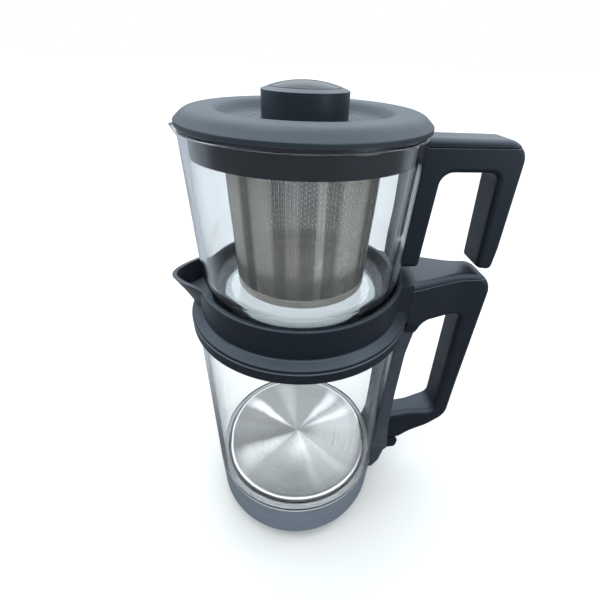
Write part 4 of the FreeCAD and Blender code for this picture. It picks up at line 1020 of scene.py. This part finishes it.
@dataclass
class Strainer(Assembly):
    """Perforated steel basket that hangs from its plastic ring."""

    body = Body.BASKET
    finish_of = {Finish.BAND: ("basket_ring",), Finish.STRAINER: ("basket_cup",)}
    hole_pitch: float = 1.30 * MM
    hole_share: float = 0.56
    columns: int = 248
    panels: int = 4
    sheet: float = 0.35 * MM
    rim_height: float = 6.2 * MM
    heel: float = 1.6 * MM
    tray_sheet: float = 0.6 * MM
    weld: float = 0.06 * MM
    lap: float = 0.35 * MM
    flange_width: float = 4.4 * MM
    taper: float = 5.1 * MM
    floor_level: float = field(init=False)
    top_level: float = field(init=False)
    foot_radius: float = field(init=False)
    top_radius: float = field(init=False)
    flange_radius: float = field(init=False)

    def __post_init__(self) -> None:
        """Take the basket's place and size from its CAD node."""
        low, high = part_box("basket_cup")
        self.floor_level = low.z
        self.top_level = high.z
        self.flange_radius = high.x
        self.top_radius = high.x - self.flange_width
        self.foot_radius = self.top_radius - self.taper

    def wall_radius(self, level: float) -> float:
        """Outer radius of the cone at a level."""
        share = (level - self.floor_level) / (self.top_level - self.floor_level)
        return self.foot_radius + (self.top_radius - self.foot_radius) * share

    def hole_column(self, radius: float, rows: int) -> Object:
        """Two staggered columns of six-sided cells, each with a hole, on a cylinder's face.

        Args:
            radius: the cylinder.
            rows: cells in a column.

        Returns:
            The strip, at the level of its first row.
        """
        cell = self.hole_pitch / math.sqrt(3)
        only(None)
        middle = (radius, 0, self.hole_pitch / 2)
        bpy.ops.mesh.primitive_circle_add(
            vertices=6, radius=cell, fill_type="NGON", location=middle, rotation=(0, math.pi / 2, 0))
        strip = bpy.context.object
        bpy.ops.object.transform_apply(location=True, rotation=True, scale=True)
        edit(strip)
        bpy.ops.transform.rotate(value=math.pi / 2, orient_axis="X", center_override=middle)
        bpy.ops.mesh.inset(thickness=self.hole_pitch * (1 - self.hole_share) / 2)
        bpy.ops.mesh.delete(type="ONLY_FACE")
        bpy.ops.object.mode_set(mode="OBJECT")
        stack = strip.modifiers.new("rows", "ARRAY")
        stack.count = rows
        stack.use_relative_offset = False
        stack.use_constant_offset = True
        stack.constant_offset_displace = (0, 0, self.hole_pitch)
        stack.use_merge_vertices = True
        stack.merge_threshold = 0.01 * MM
        apply_all(strip)
        edit(strip)
        bpy.ops.mesh.duplicate()
        bpy.ops.transform.rotate(value=-math.tau / self.columns, orient_axis="Z", center_override=(0, 0, 0))
        bpy.ops.transform.translate(value=(0, 0, self.hole_pitch / 2))
        bpy.ops.object.mode_set(mode="OBJECT")
        return strip

    def wall_panels(self, outside: Material, inside: Material) -> list[Object]:
        """Perforated wall in equal panels, tapered to the basket's cone.

        Args:
            outside: finish of the outer side.
            inside: finish of the inner side and the holes' edges, a darker copy that paints shade there.

        Returns:
            The panels, their place in their meshes.
        """
        foot = self.floor_level + self.rim_height - self.hole_pitch
        height = self.top_level - foot
        rows = int(height / self.hole_pitch)
        radius = self.wall_radius(foot)
        panel = self.hole_column(radius, rows)
        pairs = self.columns // 2 // self.panels
        edit(panel)
        bpy.ops.mesh.spin(steps=pairs - 1, dupli=True, angle=math.tau / self.panels * (pairs - 1) / pairs,
                          center=(0, 0, 0), axis=(0, 0, 1))
        bpy.ops.mesh.select_all(action="SELECT")
        bpy.ops.mesh.remove_doubles(threshold=self.weld)
        bpy.ops.mesh.normals_make_consistent(inside=False)
        bpy.ops.object.mode_set(mode="OBJECT")
        for material in (outside, inside):
            panel.data.materials.append(material)
        taper = panel.modifiers.new("taper", "SIMPLE_DEFORM")
        taper.deform_method = "TAPER"
        taper.deform_axis = "Z"
        taper.factor = self.wall_radius(foot + rows * self.hole_pitch) / radius - 1
        thick = panel.modifiers.new("sheet", "SOLIDIFY")
        thick.thickness = self.sheet
        thick.offset = -1
        thick.material_offset = 1
        thick.material_offset_rim = 1
        apply_all(panel)
        panel.location.z = foot
        done(panel, "strainer_wall_0")
        panels = [panel]
        for i in range(1, self.panels):
            only(panel)
            bpy.ops.object.duplicate()
            copy = bpy.context.object
            copy.rotation_euler.z = math.tau * i / self.panels
            panels.append(done(copy, f"strainer_wall_{i}"))
        return panels

    def tray(self) -> Object:
        """Plain foot of the basket: floor, rounded heel and the lap that holds the wall.

        Returns:
            The foot.
        """
        wall = self.wall_radius(self.floor_level + self.rim_height) + self.lap
        heel = self.heel
        edge = self.foot_radius + self.lap * 0.6
        arc = [(edge - heel + heel * math.sin(a), self.floor_level + heel - heel * math.cos(a))
               for a in (math.radians(15 * i) for i in range(7))]
        outline = [(0.4 * MM, self.floor_level)] + arc + [(wall, self.floor_level + self.rim_height)]
        obj = spun(outline, "strainer_tray")
        thick = obj.modifiers.new("sheet", "SOLIDIFY")
        thick.thickness = self.tray_sheet
        thick.offset = -1
        apply_all(obj)
        only(obj)
        bpy.ops.object.shade_smooth_by_angle(angle=math.radians(35))
        return obj

    def flange(self) -> Object:
        """Rolled top edge that lies on the plastic ring.

        Returns:
            The flange.
        """
        top, reach = self.top_level, self.flange_radius
        wall = self.wall_radius(top - 3.0 * MM)
        skirt, seat, roll = top - 5.0 * MM, top - 0.8 * MM, 0.4 * MM
        outline = [(wall + 0.05 * MM, skirt), (wall + 0.1 * MM, top - 1.2 * MM), (wall + 0.5 * MM, seat),
                   (reach - roll, seat), (reach, top - roll), (reach - roll, top), (wall - 0.2 * MM, top),
                   (wall - 0.55 * MM, top - 0.6 * MM), (wall - 0.6 * MM, skirt)]
        obj = spun(outline + outline[:1], "strainer_flange")
        only(obj)
        bpy.ops.object.shade_smooth_by_angle(angle=math.radians(50))
        return obj

    def build(self, dresser: Dresser) -> None:
        """Dress the ring and model the basket.

        Args:
            dresser: what puts finishes on CAD nodes.
        """
        super().build(dresser)
        made = dresser.made
        for panel in self.wall_panels(made[Finish.STRAINER], made[Finish.STRAINER_INSIDE]):
            finish_piece(panel, self.body)
        finish_piece(self.flange(), self.body, made[Finish.STRAINER])
        tray = self.tray()
        finish_piece(tray, self.body, made[Finish.STRAINER_FOOT])
        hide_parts("basket_cup")


@dataclass
class Lid(Assembly):
    """Lid with its sunken ring, hollow knob and polished inlay."""

    body = Body.LID
    finish_of = {
        Finish.LID_BLACK: ("lid_shell",),
        Finish.BLACK: ("lid_plug", "lid_knob"),
        Finish.GLOSS: ("knob_inlay",),
        Finish.SILICONE: ("lid_seal",),
        Finish.SCREW: ("knob_screw",)}


# ---------------------------------------------------------------- studio
@dataclass(frozen=True)
class Softbox:
    """A square area light that looks at a point of the object."""

    name: str
    place: tuple[float, float, float]
    side: float
    power: float
    colour: Colour = (1.0, 1.0, 1.0)
    aim: tuple[float, float, float] = (0.0, 0.0, 0.18)

    def build(self) -> None:
        """Make the light and turn it to its aim."""
        light = bpy.data.lights.new(self.name, "AREA")
        light.size = self.side
        light.energy = self.power
        light.color = self.colour
        lamp = bpy.data.objects.new(self.name, light)
        lamp.location = self.place
        lamp.rotation_euler = (Vector(self.aim) - Vector(self.place)).to_track_quat("-Z", "Y").to_euler()
        bpy.context.scene.collection.objects.link(lamp)


@dataclass(frozen=True)
class Viewpoint:
    """Camera beside the lid that looks down along the kettle."""

    place: tuple[float, float, float] = (-0.0221, -0.2382, 0.3632)
    pan: float = 7.418
    pitch: float = 27.266
    roll: float = 2.36
    focal_pixels: float = 378.34
    image_side: float = 600.0
    sensor: float = 36.0
    axis_pixel: tuple[float, float] = (314.17, 250.0)

    def build(self) -> None:
        """Set up the camera."""
        pan, pitch, roll = (math.radians(a) for a in (self.pan, self.pitch, self.roll))
        ahead = Vector((math.sin(pan) * math.cos(pitch), math.cos(pan) * math.cos(pitch), -math.sin(pitch)))
        level = Vector((math.cos(pan), -math.sin(pan), 0))
        down = ahead.cross(level)
        right = level * math.cos(roll) - down * math.sin(roll)
        down = level * math.sin(roll) + down * math.cos(roll)
        data = bpy.data.cameras.new("camera")
        data.sensor_width = self.sensor
        data.lens = self.sensor * self.focal_pixels / self.image_side
        data.shift_x = (self.image_side / 2 - self.axis_pixel[0]) / self.image_side
        data.shift_y = (self.axis_pixel[1] - self.image_side / 2) / self.image_side
        data.clip_start = 0.01
        camera = bpy.data.objects.new("camera", data)
        turn = Matrix((right, -down, -ahead)).transposed().to_4x4()
        camera.matrix_world = Matrix.Translation(self.place) @ turn
        bpy.context.scene.collection.objects.link(camera)
        bpy.context.scene.camera = camera


@dataclass(frozen=True)
class Studio:
    """Pale floor, white backdrop and soft lights.

    Reflections see a darker floor, and a room that is bright behind and above and dim in front.
    """

    floor_side: float = 60.0
    floor_roughness: float = 0.9
    paper: tuple[Colour, Colour] = ((0.47, 0.457, 0.436), (0.49, 0.477, 0.456))
    mirrored_floor: tuple[Colour, Colour] = ((0.052, 0.053, 0.057), (0.19, 0.195, 0.205))
    front: tuple[Colour, Colour] = ((0.05, 0.06, 0.08), (0.66, 0.72, 0.80))
    wall: Colour = (1.15, 1.27, 1.39)
    ceiling: Colour = (2.55, 2.80, 3.02)
    cool: Colour = (0.92, 0.97, 1.0)
    warm: Colour = (1.0, 0.97, 0.93)

    def floor(self) -> None:
        """Lay the floor."""
        only(None)
        bpy.ops.mesh.primitive_plane_add(size=self.floor_side, location=(0, 0, 0))
        ground = bpy.context.object
        ground.name = "floor"
        material, graph, shader = new_material("floor")
        place = graph.place()
        mirrored = graph.add("ShaderNodeLightPath").outputs["Glossy Depth"]
        mirrored = graph.remap(mirrored, 0.0, 1.0, 0.0, 1.0)
        paper = graph.blend(graph.noise(place, 3.0), *self.paper)
        behind = graph.remap(graph.split(place)["Y"], 0.02, 0.16, 0.0, 1.0)
        tone = graph.blend(mirrored, paper, graph.blend(behind, *self.mirrored_floor))
        graph.join(tone, shader.inputs["Base Color"])
        shader.inputs["Roughness"].default_value = self.floor_roughness
        ground.data.materials.append(material)

    def surroundings(self) -> None:
        """Soft room: bright behind, dim in front with a few pale uprights, and a plain white backdrop."""
        world = bpy.data.worlds.new("studio")
        bpy.context.scene.world = world
        world.use_nodes = True
        graph = Graph(world.node_tree)
        room = world.node_tree.nodes["Background"]
        axes = graph.split(graph.add("ShaderNodeTexCoord").outputs["Generated"])
        turn = graph.maths("ARCTAN2", axes["X"], axes["Y"])
        ring = graph.add("ShaderNodeCombineXYZ")
        graph.join(graph.times(turn, 2.4), ring.inputs["X"])
        uprights = graph.remap(graph.noise(ring.outputs[0], 1.0, 2.0), 0.50, 0.62, 0.0, 1.0)
        behind = graph.remap(axes["Y"], -0.15, 0.60, 0.0, 1.0)
        rising = graph.remap(axes["Z"], 0.06, 0.28, 0.15, 1.0)
        walls = graph.blend(graph.times(behind, rising), graph.blend(uprights, *self.front), self.wall)
        above = graph.remap(axes["Z"], 0.20, 0.50, 0.0, 1.0)
        graph.join(graph.blend(above, walls, self.ceiling), room.inputs["Color"])
        room.inputs["Strength"].default_value = 1.0
        backdrop = graph.add("ShaderNodeBackground", in_Strength=1.0)
        backdrop.inputs["Color"].default_value = (1.0, 1.0, 1.0, 1.0)
        seen = graph.add("ShaderNodeLightPath")
        choose = graph.add("ShaderNodeMixShader")
        bounces = graph.plus(seen.outputs["Glossy Depth"], seen.outputs["Diffuse Depth"])
        direct = graph.maths("LESS_THAN", bounces, 0.5)
        through = graph.times(seen.outputs["Is Transmission Ray"], direct)
        graph.join(graph.larger(seen.outputs["Is Camera Ray"], through), choose.inputs[0])
        graph.join(room.outputs[0], choose.inputs[1])
        graph.join(backdrop.outputs[0], choose.inputs[2])
        graph.join(choose.outputs[0], world.node_tree.nodes["World Output"].inputs["Surface"])

    def build(self) -> None:
        """Lay the floor, hang the lights and place the camera."""
        self.floor()
        self.surroundings()
        Softbox("overhead", (0.0, 0.45, 1.15), 0.8, 1.5, (0.93, 0.97, 1.0)).build()
        Softbox("left_window", (-1.1, 0.1, 0.7), 0.6, 2.0, self.cool).build()
        Softbox("right_window", (0.95, -0.85, 0.35), 0.45, 2.0, self.cool).build()
        lamps = ((-0.55, -0.30, 1.2), (0.12, -0.45, 1.25), (0.62, -0.05, 1.2), (-0.2, 0.2, 1.3))
        for i, place in enumerate(lamps):
            Softbox(f"ceiling_lamp_{i}", place, 0.07, 1.1, self.warm).build()
        Viewpoint().build()
        bpy.context.scene.view_settings.view_transform = "Standard"


def main() -> None:
    """Build the tea maker's looks and its studio."""
    logging.basicConfig(level=logging.INFO, format="%(message)s")
    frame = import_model()
    dresser = Dresser(frame["nodes"])
    for part in (PowerBase(), Kettle(), Switch(), Teapot(), Strainer(), Lid()):
        part.build(dresser)
    Studio().build()
    only(None)


if __name__ == "__main__":
    main()
